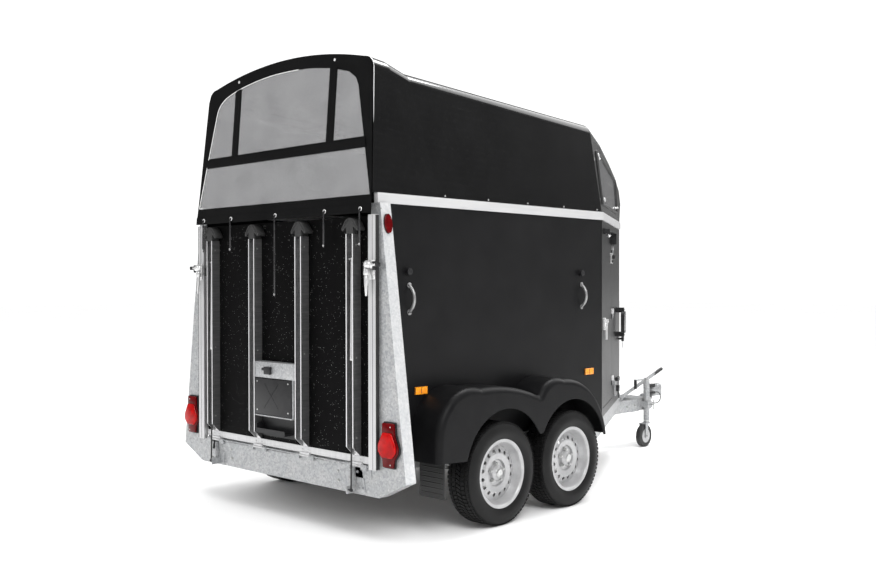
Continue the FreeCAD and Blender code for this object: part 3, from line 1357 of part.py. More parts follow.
document.recompute()
faulty = [thing.Label for thing in document.Objects if {"Invalid", "Error"} & set(thing.State)]
faulty += [node.Label for node in nodes if node.Shape.isNull() or not node.Shape.isValid()]
if faulty:
    raise SystemExit(f"not built: {faulty}")
os.makedirs("parts", exist_ok=True)
for node in nodes:
    node.Shape.exportStep(f"parts/{node.Label}.step")
print(f"{len(nodes)} sub-parts written")
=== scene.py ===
import math
import bmesh
import bpy
from mathutils import Matrix, Vector, noise
from mathutils.bvhtree import BVHTree


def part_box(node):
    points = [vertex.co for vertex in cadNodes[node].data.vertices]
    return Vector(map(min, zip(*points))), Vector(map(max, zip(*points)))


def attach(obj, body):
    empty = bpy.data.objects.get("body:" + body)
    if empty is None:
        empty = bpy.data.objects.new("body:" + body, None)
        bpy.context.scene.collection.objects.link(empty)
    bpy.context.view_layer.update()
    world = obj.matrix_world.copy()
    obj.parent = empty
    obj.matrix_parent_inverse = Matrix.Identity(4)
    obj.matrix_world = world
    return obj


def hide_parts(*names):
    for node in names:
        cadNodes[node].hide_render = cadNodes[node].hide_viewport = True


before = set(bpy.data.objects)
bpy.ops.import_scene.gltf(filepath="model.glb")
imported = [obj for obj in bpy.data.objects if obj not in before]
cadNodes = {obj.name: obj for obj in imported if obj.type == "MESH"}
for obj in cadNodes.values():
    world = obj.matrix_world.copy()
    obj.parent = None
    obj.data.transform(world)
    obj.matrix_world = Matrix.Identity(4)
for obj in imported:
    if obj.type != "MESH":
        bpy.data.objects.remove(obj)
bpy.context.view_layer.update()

# A two-horse trailer: galvanised portal and chassis, black boards, a glossy moulded hood and a net tarp.
still = Matrix.Identity(4)
facingBack = Matrix.Rotation(math.radians(90), 4, "X")
facingFront = Matrix.Rotation(math.radians(-90), 4, "X")
toBack = (0, -1, 0)
bothWays = (-1, 1)


# Shapes added to a mesh

def edgesOf(verts):
    return list({edge for vert in verts for edge in vert.link_edges})


def moved(x, y, z):
    return Matrix.Translation((x, y, z))


def aimed(place, heading):
    return Matrix.Translation(place) @ Vector(heading).to_track_quat("Z", "Y").to_matrix().to_4x4()


def roundEdges(mesh, edges, offset, steps=2):
    if offset:
        return bmesh.ops.bevel(mesh, geom=edges, offset=offset, segments=steps, profile=0.5,
                               affect="EDGES", material=-1, clamp_overlap=True)


def addBlock(mesh, low, high, edge=0.001, at=still, steps=2):
    low, high = Vector(low), Vector(high)
    place = at @ Matrix.Translation((low + high) / 2) @ Matrix.Diagonal((*(high - low), 1))
    roundEdges(mesh, edgesOf(bmesh.ops.create_cube(mesh, size=1, matrix=place)["verts"]), edge, steps)


def addRod(mesh, start, end, radius, steps=24, edge=0.0, at=still):
    start, end = Vector(start), Vector(end)
    made = bmesh.ops.create_cone(mesh, cap_ends=True, segments=steps, radius1=radius, radius2=radius,
                                 depth=(end - start).length, matrix=at @ aimed((start + end) / 2, end - start))
    rims = [item for item in edgesOf(made["verts"]) if max(len(face.verts) for face in item.link_faces) > 4]
    roundEdges(mesh, rims, edge)


def addScrews(mesh, spots, reach, radius, steps=12, edge=0.0008, at=still):
    for spot in spots:
        addRod(mesh, spot, Vector(spot) + Vector(reach), radius, steps, edge, at)


def addBall(mesh, centre, radius, stretch=(1, 1, 1), at=still):
    place = at @ Matrix.Translation(centre) @ Matrix.Diagonal((*stretch, 1))
    bmesh.ops.create_uvsphere(mesh, u_segments=20, v_segments=12, radius=radius, matrix=place)


def addNuts(mesh, centres, outwards, radius, height):
    # A washer, a six-sided nut and the bolt's end.
    reach = Vector(outwards).normalized() * height
    for centre in map(Vector, centres):
        addRod(mesh, centre, centre + reach * 0.25, radius * 1.25, 20)
        addRod(mesh, centre + reach * 0.2, centre + reach, radius, 6, radius * 0.12)
        addRod(mesh, centre + reach, centre + reach * 1.45, radius * 0.55, 14, radius * 0.1)


def addPlate(mesh, outline, depth, at=still, corner=0.0, edge=0.0008):
    face = mesh.faces.new([mesh.verts.new(at @ Vector((x, y, 0))) for x, y in outline])
    grown = bmesh.ops.extrude_face_region(mesh, geom=[face])["geom"]
    top = [item for item in grown if isinstance(item, bmesh.types.BMVert)]
    bmesh.ops.translate(mesh, vec=at.to_3x3() @ Vector((0, 0, depth)), verts=top)
    sides = [edge for vert in top for edge in vert.link_edges if edge.other_vert(vert) in face.verts]
    every = edgesOf(top + list(face.verts))
    if corner:
        rounded = roundEdges(mesh, sides, corner, 4)
        every = edgesOf({vert for part in rounded["faces"] for vert in part.verts})
        every = [item for item in every if any(len(part.verts) > 4 for part in item.link_faces)]
    roundEdges(mesh, every, edge)


def addTurned(mesh, outline, at=still, steps=32):
    verts = [mesh.verts.new(at @ Vector((radius, 0, along))) for radius, along in outline]
    edges = [mesh.edges.new(pair) for pair in zip(verts, verts[1:])]
    bmesh.ops.spin(mesh, geom=verts + edges, cent=at.translation, axis=at.to_3x3() @ Vector((0, 0, 1)),
                   dvec=(0, 0, 0), angle=2 * math.pi, steps=steps, use_merge=True)


def makeCord(name, points, radius, closed=False, resolution=12, roundness=4):
    curve = bpy.data.curves.new(name, "CURVE")
    curve.dimensions = "3D"
    curve.bevel_depth = radius
    curve.bevel_resolution = roundness
    curve.resolution_u = resolution
    curve.use_fill_caps = not closed
    spline = curve.splines.new("NURBS")
    spline.points.add(len(points) - 1)
    for spot, point in zip(spline.points, points):
        spot.co = (*point, 1)
    spline.order_u = 3
    spline.use_cyclic_u = closed
    spline.use_endpoint_u = not closed
    cord = bpy.data.objects.new(name, curve)
    bpy.context.collection.objects.link(cord)
    return cord


def addTube(mesh, points, radius, closed=False, resolution=5):
    cord = makeCord("run", points, radius, closed, resolution, 3)
    bpy.context.view_layer.update()
    mesh.from_mesh(bpy.data.meshes.new_from_object(cord.evaluated_get(bpy.context.evaluated_depsgraph_get())))
    bpy.data.curves.remove(cord.data)


def mirrorAcross(mesh):
    copy = bmesh.ops.duplicate(mesh, geom=mesh.verts[:] + mesh.edges[:] + mesh.faces[:])["geom"]
    verts = [item for item in copy if isinstance(item, bmesh.types.BMVert)]
    bmesh.ops.scale(mesh, vec=(-1, 1, 1), verts=verts)


def makePiece(name, mesh, *coats, body="trailer", slot=None, stands=None, both=False, crease=32, outwards=True):
    if both:
        mirrorAcross(mesh)
    if outwards:
        bmesh.ops.recalc_face_normals(mesh, faces=mesh.faces)
    data = bpy.data.meshes.new(name)
    mesh.to_mesh(data)
    mesh.free()
    for coat in coats:
        data.materials.append(finishes[coat])
    data.shade_smooth()
    data.set_sharp_from_angle(angle=math.radians(crease))
    piece = bpy.data.objects.new(name, data)
    bpy.context.collection.objects.link(piece)
    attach(piece, body)
    if stands:
        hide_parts(stands)
    return piece


# Finishes

def addNode(tree, kind, **values):
    # Values with a capital are the node's inputs, the others its settings.
    node = tree.nodes.new("ShaderNode" + kind)
    for key, value in values.items():
        if key[0].isupper():
            node.inputs[key].default_value = value
        else:
            setattr(node, key, value)
    return node


def join(start, output, end, socket):
    start.id_data.links.new(start.outputs[output], end.inputs[socket])


def startFinish(name, inputs):
    finish = bpy.data.materials.new(name)
    finish.use_nodes = True
    surface = finish.node_tree.nodes["Principled BSDF"]
    for socket, value in inputs.items():
        surface.inputs[socket].default_value = value
    return finish, finish.node_tree, surface


def shadeRange(tree, source, output, dark, light, low=0.3, high=0.7):
    ramp = addNode(tree, "ValToRGB")
    for stop, position, colour in zip(ramp.color_ramp.elements, (low, high), (dark, light)):
        stop.position = position
        stop.color = (*colour, 1)
    join(source, output, ramp, "Fac")
    return ramp


def spread(tree, source, output, ends, surface, socket):
    reach = addNode(tree, "MapRange", **{"To Min": ends[0], "To Max": ends[1]})
    join(source, output, reach, "Value")
    join(reach, "Result", surface, socket)


def addBump(tree, source, output, surface, strength, height):
    bump = addNode(tree, "Bump", Strength=strength, Distance=height)
    join(source, output, bump, "Height")
    join(bump, "Normal", surface, "Normal")


def compare(tree, source, output, operation, limit):
    test = addNode(tree, "Math", operation=operation)
    test.inputs[1].default_value = limit
    join(source, output, test, 0)
    return test


def addSpecks(tree, place, colour, scale, size, share, tint):
    # Dots of another colour in a share of the cells.
    dots = addNode(tree, "TexVoronoi", Scale=scale)
    join(place, "Object", dots, "Vector")
    pick = addNode(tree, "SeparateColor")
    join(dots, "Color", pick, "Color")
    chosen = addNode(tree, "Math", operation="MULTIPLY")
    join(compare(tree, dots, "Distance", "LESS_THAN", size), "Value", chosen, 0)
    join(compare(tree, pick, "Red", "GREATER_THAN", 1 - share), "Value", chosen, 1)
    mix = addNode(tree, "Mix", data_type="RGBA")
    mix.inputs["B"].default_value = (*tint, 1)
    join(chosen, "Value", mix, "Factor")
    join(colour, "Color", mix, "A")
    return mix


def addSpangle(tree, place, colour, dark, light):
    # Zinc crystals with ragged edges, each of one shade.
    size, ragged = 90, 0.018
    warp = addNode(tree, "TexNoise", Scale=size * 0.6, Detail=4)
    join(place, "Object", warp, "Vector")
    shift = addNode(tree, "VectorMath", operation="MULTIPLY_ADD")
    shift.inputs[1].default_value = (ragged, ragged, ragged)
    join(warp, "Color", shift, 0)
    join(place, "Object", shift, 2)
    crystals = addNode(tree, "TexVoronoi", Scale=size, Randomness=1.0)
    join(shift, "Vector", crystals, "Vector")
    pick = addNode(tree, "SeparateColor")
    join(crystals, "Color", pick, "Color")
    mix = addNode(tree, "Mix", data_type="RGBA", blend_type="MULTIPLY")
    mix.inputs["Factor"].default_value = 1.0
    join(colour, "Color", mix, "A")
    join(shadeRange(tree, pick, "Red", dark, light, 0.0, 1.0), "Color", mix, "B")
    return mix


def makeFinish(name, dark, light, rough, patch, grain, metallic=0.0, stretch=(1, 1, 1), specks=None,
               spangle=None, gloss=None, coat=None, alpha=None):
    inputs = {"Metallic": metallic}
    if gloss:
        inputs["Specular IOR Level"] = gloss
    if coat:
        inputs.update({"Coat Weight": coat[0], "Coat Roughness": coat[1]})
    if alpha:
        inputs["Alpha"] = alpha
    finish, tree, surface = startFinish(name, inputs)
    place = addNode(tree, "TexCoord")
    stretched = addNode(tree, "Mapping", Scale=stretch)
    join(place, "Object", stretched, "Vector")
    patches = addNode(tree, "TexNoise", Scale=patch, Detail=5, Roughness=0.6)
    join(stretched, "Vector", patches, "Vector")
    colour = shadeRange(tree, patches, "Fac", dark, light)
    if specks:
        colour = addSpecks(tree, place, colour, *specks)
    if spangle:
        colour = addSpangle(tree, place, colour, *spangle)
    join(colour, "Result" if specks or spangle else "Color", surface, "Base Color")
    spread(tree, patches, "Fac", rough, surface, "Roughness")
    fine = addNode(tree, "TexNoise", Scale=grain[0], Detail=3, Roughness=0.6)
    join(stretched, "Vector", fine, "Vector")
    addBump(tree, fine, "Fac", surface, *grain[1:])
    return finish


def grey(level, blue=None):
    return level, level, blue or level


finishRows = {
    # dark and light colour, roughness, size of the patches, grain as scale, strength and height, and what else it has
    "galvanisedSteel": ((0.42, 0.43, 0.44), grey(0.5), (0.38, 0.52), 14, (260, 0.1, 0.0004),
                        {"metallic": 0.6, "spangle": ((0.66, 0.67, 0.68), grey(1))}),
    # a lighter copy of the galvanised steel: painted light on the portal's outer flanks, which the lamps light more
    "galvanisedPaintedLitFlank": ((0.58, 0.59, 0.6), grey(0.66), (0.38, 0.52), 14, (260, 0.1, 0.0004),
                       {"metallic": 0.45, "spangle": ((0.84, 0.85, 0.86), grey(1))}),
    "agedSteel": (grey(0.3), grey(0.48), (0.45, 0.62), 18, (220, 0.2, 0.0006), {"metallic": 0.7}),
    # a darker aluminium for the ramp profiles: painted shade on their flanks
    "ribbedAluminiumPaintedShade": (grey(0.2, 0.205), grey(0.28), (0.26, 0.36), 22, (60, 0.3, 0.0006),
                        {"metallic": 0.85, "stretch": (0.4, 0.4, 5)}),
    "postAluminium": (grey(0.5, 0.51), grey(0.58), (0.32, 0.42), 12, (160, 0.1, 0.0003),
                      {"metallic": 0.6, "stretch": (6, 6, 0.3)}),
    "railAluminium": (grey(0.66, 0.67), grey(0.74), (0.3, 0.42), 10, (160, 0.08, 0.0003),
                      {"metallic": 0.55, "stretch": (6, 0.3, 6)}),
    "castMetal": (grey(0.58), grey(0.74), (0.22, 0.36), 30, (500, 0.12, 0.0003), {"metallic": 0.7}),
    "handleMetal": (grey(0.24), grey(0.34), (0.26, 0.38), 26, (400, 0.1, 0.0003), {"metallic": 0.5}),
    "wallBoard": (grey(0.003, 0.0035), grey(0.006, 0.0065), (0.38, 0.46), 5, (900, 0.5, 0.0006),
                  {"gloss": 0.16, "specks": (240, 0.28, 0.12, grey(0.05, 0.052))}),
    "frontBoard": (grey(0.006, 0.0065), grey(0.01, 0.0105), (0.34, 0.42), 5, (900, 0.5, 0.0006),
                   {"gloss": 0.28, "specks": (240, 0.28, 0.12, grey(0.06, 0.062))}),
    "rampBoard": (grey(0.001, 0.0012), grey(0.002), (0.4, 0.48), 6, (800, 0.6, 0.0007),
                  {"gloss": 0.04, "specks": (150, 0.25, 0.08, grey(0.2, 0.195))}),
    "hoodGelcoat": (grey(0.002, 0.0022), grey(0.004, 0.0042), (0.2, 0.28), 4, (700, 0.12, 0.0002),
                    {"gloss": 0.05, "coat": (0.6, 0.07), "specks": (300, 0.25, 0.08, grey(0.05, 0.051))}),
    "hoodInside": (grey(0.5, 0.49), grey(0.62, 0.61), (0.5, 0.62), 7, (260, 0.3, 0.0006), {}),
    "guardPlastic": (grey(0.004, 0.0045), grey(0.007, 0.0075), (0.4, 0.5), 9, (700, 0.35, 0.0004), {"gloss": 0.12}),
    "blackPlastic": (grey(0.007, 0.008), grey(0.014, 0.015), (0.34, 0.46), 26, (900, 0.2, 0.0003), {"gloss": 0.35}),
    "blackPaint": (grey(0.008, 0.009), grey(0.016, 0.017), (0.28, 0.4), 16, (500, 0.15, 0.0003), {}),
    "blackRubber": (grey(0.01), grey(0.02), (0.5, 0.66), 22, (600, 0.3, 0.0004), {}),
    "strapRubber": (grey(0.012, 0.013), grey(0.022, 0.023), (0.16, 0.28), 30, (500, 0.1, 0.0003), {}),
    "tyreRubber": (grey(0.005, 0.0052), grey(0.01), (0.46, 0.62), 12, (420, 0.35, 0.0005), {"gloss": 0.2}),
    "silverRim": (grey(0.34, 0.345), grey(0.42, 0.425), (0.3, 0.42), 18, (600, 0.1, 0.0003),
                  {"metallic": 0.4, "coat": (0.2, 0.2)}),
    "zincFastener": ((0.44, 0.45, 0.45), grey(0.62, 0.61), (0.26, 0.4), 60, (900, 0.1, 0.0002), {"metallic": 0.8}),
    "redLens": ((0.05, 0, 0.0006), (0.11, 0, 0.0012), (0.08, 0.14), 26, (260, 0.3, 0.001),
                {"gloss": 0.12, "coat": (0.12, 0.03)}),
    "brightRedLens": ((0.22, 0, 0.0008), (0.42, 0.002, 0.0015), (0.08, 0.14), 30, (160, 0.3, 0.0016),
                      {"gloss": 0.12, "coat": (0.12, 0.03)}),
    "amberLens": ((0.85, 0.26, 0.006), (0.95, 0.36, 0.012), (0.12, 0.2), 40, (420, 0.3, 0.0006),
                  {"coat": (0.8, 0.04)}),
    "greyLens": (grey(0.22, 0.23), grey(0.32, 0.33), (0.14, 0.22), 30, (300, 0.2, 0.0005), {"coat": (0.6, 0.05)}),
    "coatedPlywood": ((0.055, 0.04, 0.032), (0.085, 0.064, 0.05), (0.4, 0.52), 7, (120, 0.3, 0.0006),
                      {"stretch": (8, 0.5, 8)}),
    "tintedPane": (grey(0.1, 0.105), grey(0.13, 0.135), (0.05, 0.1), 5, (40, 0.02, 0.0005),
                   {"alpha": 0.72, "coat": (0.5, 0.03)}),
    "whitePiping": (grey(0.62, 0.61), grey(0.78, 0.77), (0.4, 0.5), 30, (700, 0.2, 0.0003), {}),
}
finishes = {}
for name, (*row, more) in finishRows.items():
    finishes[name] = makeFinish(name, *row, **more)


def makeCloth(name, dark, light, threads, alpha=None, rough=0.5, gloss=0.1):
    # Crossed threads from the sheet's own UV map, which counts in metres.
    cloth, tree, surface = startFinish(name, {"Roughness": rough, "Specular IOR Level": gloss})
    place = addNode(tree, "TexCoord")
    cross = addNode(tree, "Math", operation="MAXIMUM")
    for socket, direction in enumerate("XY"):
        wave = addNode(tree, "TexWave", bands_direction=direction, Scale=threads, Distortion=0.3, Detail=1.0)
        join(place, "UV", wave, "Vector")
        join(wave, "Fac", cross, socket)
    patches = addNode(tree, "TexNoise", Scale=5.0, Detail=5)
    join(place, "Object", patches, "Vector")
    join(shadeRange(tree, patches, "Fac", dark, light), "Color", surface, "Base Color")
    addBump(tree, cross, "Value", surface, 0.4, 0.0004)
    if alpha:
        spread(tree, cross, "Value", alpha, surface, "Alpha")
    return cloth


finishes["tarpCloth"] = makeCloth("tarpCloth", grey(0.002, 0.0022), grey(0.004, 0.0042), 420, gloss=0.06)
finishes["netCloth"] = makeCloth("netCloth", grey(0.29, 0.295), grey(0.35, 0.355), 300, (0.22, 0.56), 0.7, 0.12)
print("finishes made")


# Finishes of the carried CAD nodes

nodeFinishes = {
    "galvanisedSteel": "chassis_frame chassis_members drawbar rear_portal ramp_hinge plate_holder partition "
                       "overrun_unit coupling_head handbrake_lever drawbar_brackets jockey_tube jockey_fork",
    "wallBoard": "side_wall_right side_wall_left",
    "frontBoard": "front_wall_right front_wall_centre front_wall_left entry_door",
    "blackPlastic": "door_fittings wall_fittings ramp_brackets tow_plug",
    "postAluminium": "door_posts ramp_sill strut_tube_right strut_tube_left",
    "blackRubber": "ramp_feet mudflaps jockey_wheel tow_cable",
    "tyreRubber": "tyre_rear_right tyre_rear_left tyre_front_right tyre_front_left",
    "silverRim": "rim_rear_right rim_rear_left rim_front_right rim_front_left",
    "blackPaint": "strut_rod_right strut_rod_left", "guardPlastic": "mudguard_right mudguard_left",
    "redLens": "tail_lamps marker_lamps", "agedSteel": "axle_rear axle_front", "coatedPlywood": "floor_panel",
    "railAluminium": "belt_rail", "hoodGelcoat": "hood_shell", "tintedPane": "nose_windows",
    "tarpCloth": "rear_tarp", "rampBoard": "ramp_panel", "ribbedAluminiumPaintedShade": "ramp_profiles",
    "castMetal": "ramp_locks", "handleMetal": "side_handles", "zincFastener": "breakaway_wire",
}
for finish, names in nodeFinishes.items():
    for name in names.split():
        cadNodes[name].data.materials.clear()
        cadNodes[name].data.materials.append(finishes[finish])


def paintPart(name, finish, test):
    # A second finish on the faces of a CAD node whose middle passes the test.
    data = cadNodes[name].data
    data.materials.append(finishes[finish])
    for face in data.polygons:
        if test(face.center, face.normal):
            face.material_index = len(data.materials) - 1


def treeOf(name):
    data = cadNodes[name].data
    return BVHTree.FromPolygons([vert.co for vert in data.vertices], [face.vertices for face in data.polygons])


hoodTree = treeOf("hood_shell")


def looksInside(spot, normal):
    # True where most rays from the face meet the hood again.
    side = normal.orthogonal()
    rays = [normal] + [Matrix.Rotation(turn * math.pi / 3, 3, normal) @ (normal + side * 0.8) for turn in range(6)]
    met = [hoodTree.ray_cast(spot + normal * 0.001, ray.normalized(), 4.0)[0] for ray in rays]
    return sum(hit is not None for hit in met) > 3


slantSpots = [vert.co.copy() for vert in cadNodes["front_wall_right"].data.vertices]
slantFoot = max(slantSpots, key=lambda co: (co.x, -co.y))
slantNose = max(slantSpots, key=lambda co: (co.y, co.x))
slantAlong = Vector((slantNose.x - slantFoot.x, slantNose.y - slantFoot.y, 0)).normalized()
slantIn = Vector((0, 0, 1)).cross(slantAlong)
slantAt = moved(slantFoot.x, slantFoot.y, 0) @ Matrix((slantAlong, slantIn, (0, 0, 1))).transposed().to_4x4()


def onSlant(spot):
    # A place in the slanted wall's own terms: along, outwards, up.
    held = slantAt.inverted() @ spot
    return held.x, -held.y, held.z


def isMarkerPane(spot, normal):
    along, out, up = onSlant(spot)
    return 1.025 < along < 1.125 and 1.081 < up < 1.227 and out < 0.07


def isHingeZinc(spot, normal):
    along, out, up = onSlant(spot)
    return along < 0.96 and out < 0.0141


def isDoorZinc(spot, normal):
    along, out, up = onSlant(spot)
    return up < 1.76 and not (up > 1.66 and 0.62 < along < 0.665 and out > 0.011)


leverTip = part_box("handbrake_lever")[1]
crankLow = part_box("jockey_tube")[0]
paintPart("hood_shell", "hoodInside", looksInside)
# The ramp profiles' front faces get the lighter rail aluminium as painted light; the other faces keep the darker
# ribbed aluminium as painted shade.
paintPart("ramp_profiles", "railAluminium", lambda spot, normal: normal.y < -0.6)
# The portal's outer flanks get the lighter galvanised copy, painted light for the side that the lamps light more.
paintPart("rear_portal", "galvanisedPaintedLitFlank", lambda spot, normal: abs(normal.x) > 0.8 and abs(spot.x) > 0.89)
paintPart("marker_lamps", "amberLens", lambda spot, normal: spot.z < 1.2)
paintPart("side_handles", "blackPlastic", lambda spot, normal: spot.z > 1.5)
paintPart("wall_fittings", "greyLens", isMarkerPane)
paintPart("wall_fittings", "galvanisedSteel", isHingeZinc)
paintPart("door_fittings", "castMetal", isDoorZinc)
paintPart("handbrake_lever", "blackRubber", lambda spot, normal: spot.y > leverTip.y - 0.125 and spot.z > 0.62)
paintPart("jockey_tube", "blackPlastic", lambda spot, normal: spot.y < crankLow.y + 0.026)
print("CAD nodes finished")


# Tyres with a cut tread, and the nuts and caps on the rims

tyreLooks = {
    "stations": 72, "treadHalf": 0.078, "carcass": 0.007, "grooves": (-0.052, -0.018, 0.018, 0.052),
    "blockDepth": 0.007, "blockGap": 0.0024, "blockSlope": 0.0009, "sweep": 0.035,
}
hubLooks = {"nuts": 5, "nutRing": 0.056, "nut": (0.0105, 0.016), "seat": 0.029, "valveTurn": 205}


def makeTyre(name, node, body):
    low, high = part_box(node)
    middle = (low + high) / 2
    outer = (high.z - low.z) / 2
    half = (high.x - low.x) / 2
    bead = (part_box(node.replace("tyre", "rim"))[1].z - middle.z) - 0.003
    carcass = outer - tyreLooks["carcass"]
    profile = [(bead - 0.012, half * 0.8), (bead + 0.006, half * 0.86), (bead + 0.02, half * 0.955),
               (bead + 0.042, half * 0.992), (bead + 0.058, half * 0.985), (outer - 0.04, half * 0.955),
               (outer - 0.022, half * 0.9), (carcass - 0.004, half * 0.83), (carcass, tyreLooks["treadHalf"])]
    shoulders = [(radius, -across) for radius, across in reversed(profile)]
    profile += [(carcass, across) for across in reversed(tyreLooks["grooves"])] + shoulders
    mesh = bmesh.new()
    turned = Matrix.Translation(middle) @ Matrix.Rotation(math.radians(90), 4, "Y")
    addTurned(mesh, profile, turned, tyreLooks["stations"])
    bmesh.ops.remove_doubles(mesh, verts=mesh.verts, dist=0.00005)
    bmesh.ops.recalc_face_normals(mesh, faces=mesh.faces)
    tread = [face for face in mesh.faces if (face.calc_center_median() - middle).yz.length > carcass - 0.006]
    for thickness, depth in ((tyreLooks["blockGap"], 0.0), (tyreLooks["blockSlope"], tyreLooks["blockDepth"])):
        bmesh.ops.inset_individual(mesh, faces=tread, thickness=thickness, depth=depth, use_even_offset=True)
    for vert in mesh.verts:
        spot = vert.co - middle
        sweep = tyreLooks["sweep"] * math.sin(spot.x / half * 5.0)
        vert.co = middle + Matrix.Rotation(sweep, 3, "X") @ spot
    makePiece(name, mesh, "tyreRubber", body=body, stands=node, crease=38, outwards=False)


def makeHubs(name, rim, body, sign):
    low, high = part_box(rim)
    middle = (low + high) / 2
    outwards = Vector((sign, 0, 0))
    mesh = bmesh.new()
    turns = [2 * math.pi * (index + 0.25) / hubLooks["nuts"] for index in range(hubLooks["nuts"])]
    ring = [middle + outwards * hubLooks["seat"] + hubLooks["nutRing"] * Vector((0, math.cos(turn), math.sin(turn)))
            for turn in turns]
    addNuts(mesh, ring, outwards, *hubLooks["nut"])
    cap = [(0.0255, -0.006), (0.0262, 0.002), (0.0215, 0.0052), (0.0175, 0.0042), (0.0005, 0.0046)]
    addTurned(mesh, cap, aimed(middle + outwards * 0.0602, outwards), 28)
    valveTurn = math.radians(hubLooks["valveTurn"])
    around = Vector((0, math.cos(valveTurn), math.sin(valveTurn)))
    start = middle + outwards * 0.034 + around * 0.158
    lean = outwards * 0.02 - around * 0.011
    addRod(mesh, start, start + outwards * 0.022 - around * 0.012, 0.0045, 12)
    addRod(mesh, start + lean, start + lean * 1.5, 0.0055, 12, 0.001)
    makePiece(name, mesh, "zincFastener", body=body, slot="rim_metal")


for row in ("rear", "front"):
    for side, sign in (("right", 1), ("left", -1)):
        wheel = f"{row}_{side}"
        makeTyre(f"tread_{wheel}", f"tyre_{wheel}", f"wheel_{wheel}")
        makeHubs(f"wheel_nuts_{wheel}", f"rim_{wheel}", f"wheel_{wheel}", sign)
print("wheels made")


# The rear tarp: one sheet in the leaning plane of the hood's rear end, with a net window

tarpLooks = {
    "shoulder": (0.815, 2.698), "brow": (0.7365, 2.78), "skin": 0.003, "columns": 96, "rows": 60,
    "lift": 0.0035, "wave": 0.0035, "loose": (2.05, 0.17), "thickness": 0.0009, "bandThickness": 0.0012,
    "window": [(0.85, 1.975), (0.7, 2.618), (0.676, 2.665), (0.612, 2.709), (0.45, 2.752), (0.25, 2.781),
               (0.0, 2.795)],
    "piping": [(-0.846, 1.985), (-0.79, 2.24), (-0.742, 2.44), (-0.706, 2.6), (-0.69, 2.645), (-0.655, 2.682),
               (-0.59, 2.716), (-0.45, 2.752), (-0.25, 2.781), (-0.05, 2.794), (0.14, 2.788)],
    "band": (2.25, 2.315), "straps": (-0.475, 0.475), "strapHalf": 0.035, "strapTop": 2.752, "hemTop": 1.975,
    "eyelets": (-0.782, -0.467, 0.0, 0.467, 0.782), "eyeletUp": 1.9,
    "pullers": (0.21, 0.21, 0.5, 0.21, 0.21), "snaps": (-0.478, 0.478), "snapUp": 2.798,
}
skin, hemTop = tarpLooks["skin"], tarpLooks["hemTop"]
shoulderHalf, shoulderTop = tarpLooks["shoulder"]
tarpLow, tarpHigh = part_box("rear_tarp")
footHalf = tarpHigh.x
tarpLean = (tarpHigh.y - tarpLow.y - skin) / (tarpHigh.z - tarpLow.z)


def tarpTop(x):
    brow, up = tarpLooks["brow"]
    if abs(x) <= brow:
        return tarpHigh.z - (tarpHigh.z - up) * (x / brow) ** 2
    share = min(1.0, (abs(x) - brow) / (shoulderHalf - brow))
    return shoulderTop + (up - shoulderTop) * math.sqrt(1 - share ** 2)


def tarpY(x, z, proud=0.0):
    plane = tarpLow.y + skin + tarpLean * (z - tarpLow.z)
    top, depth = tarpLooks["loose"]
    loose = max(0.0, min(1.0, (top - z) / depth))
    ripple = 0.5 + 0.5 * noise.noise(Vector((x * 4.5, 0.0, z * 2.2)))
    fold = 0.5 + 0.5 * math.sin(x * 21 + 2.2 * math.sin(x * 5))
    return plane - tarpLooks["lift"] - tarpLooks["wave"] * (0.5 * ripple + 0.9 * loose * fold) - proud


def onTarp(x, z, proud=0.0):
    return Vector((x, tarpY(x, z, proud), z))


def sewStrip(mesh, half, low, high, columns, rows, crown, middle=0.0):
    # A crowned strip as wide as half says to either side of its middle.
    for vert in bmesh.ops.create_grid(mesh, x_segments=columns, y_segments=rows, size=0.5)["verts"]:
        across, up = vert.co.x + 0.5, vert.co.y + 0.5
        z = low + (high - low) * up
        edge = min(across, 1 - across) if high - low > 0.2 else min(up, 1 - up)
        vert.co = onTarp(middle + half(z) * (2 * across - 1), z, 0.0016 + crown * min(1.0, edge * 5))


def windowHalf(z):
    (foot, footUp), (top, topUp) = tarpLooks["window"][:2]
    return foot + (top - foot) * (z - footUp) / (topUp - footUp)


def finishCloth(mesh, thickness):
    # The map counts in metres across and up, so the threads keep their size.
    sewn = mesh.loops.layers.uv.new("sewn")
    for face in mesh.faces:
        for loop in face.loops:
            loop[sewn].uv = (loop.vert.co.x, loop.vert.co.z)
    bmesh.ops.recalc_face_normals(mesh, faces=mesh.faces)
    bmesh.ops.solidify(mesh, geom=mesh.faces[:], thickness=thickness)


def ringAt(centre, radius, count):
    turns = [2 * math.pi * index / count for index in range(count)]
    return [centre + Vector((radius * math.cos(turn), 0, radius * math.sin(turn))) for turn in turns]


mesh = bmesh.new()
grid = bmesh.ops.create_grid(mesh, x_segments=tarpLooks["columns"], y_segments=tarpLooks["rows"], size=0.5)["verts"]
for vert in grid:
    across, up = vert.co.x * 2, vert.co.y + 0.5
    half = footHalf + (shoulderHalf - footHalf) * up
    vert.co = Vector((across * half, 0, tarpLow.z + (tarpTop(across * shoulderHalf) - tarpLow.z) * up))
windowLoop = tarpLooks["window"] + [(-x, z) for x, z in reversed(tarpLooks["window"][:-1])]
sides = []
for first, second in zip(windowLoop, windowLoop[1:] + windowLoop[:1]):
    outside = Vector((second[1] - first[1], 0, first[0] - second[0])).normalized()
    sides.append((Vector((first[0], 0, first[1])), outside))
for spot, outside in sides:
    bmesh.ops.bisect_plane(mesh, geom=mesh.verts[:] + mesh.edges[:] + mesh.faces[:], dist=0.0004,
                           plane_co=spot, plane_no=outside)
for face in mesh.faces:
    centre = face.calc_center_median()
    face.material_index = int(all((centre - spot).dot(outside) < 0 for spot, outside in sides))
clothArea = round(sum(face.calc_area() for face in mesh.faces), 4)
for vert in mesh.verts:
    vert.co.y = tarpY(vert.co.x, vert.co.z)
finishCloth(mesh, tarpLooks["thickness"])
rearTarp = makePiece("tarp_sheet", mesh, "tarpCloth", "netCloth", stands="rear_tarp")

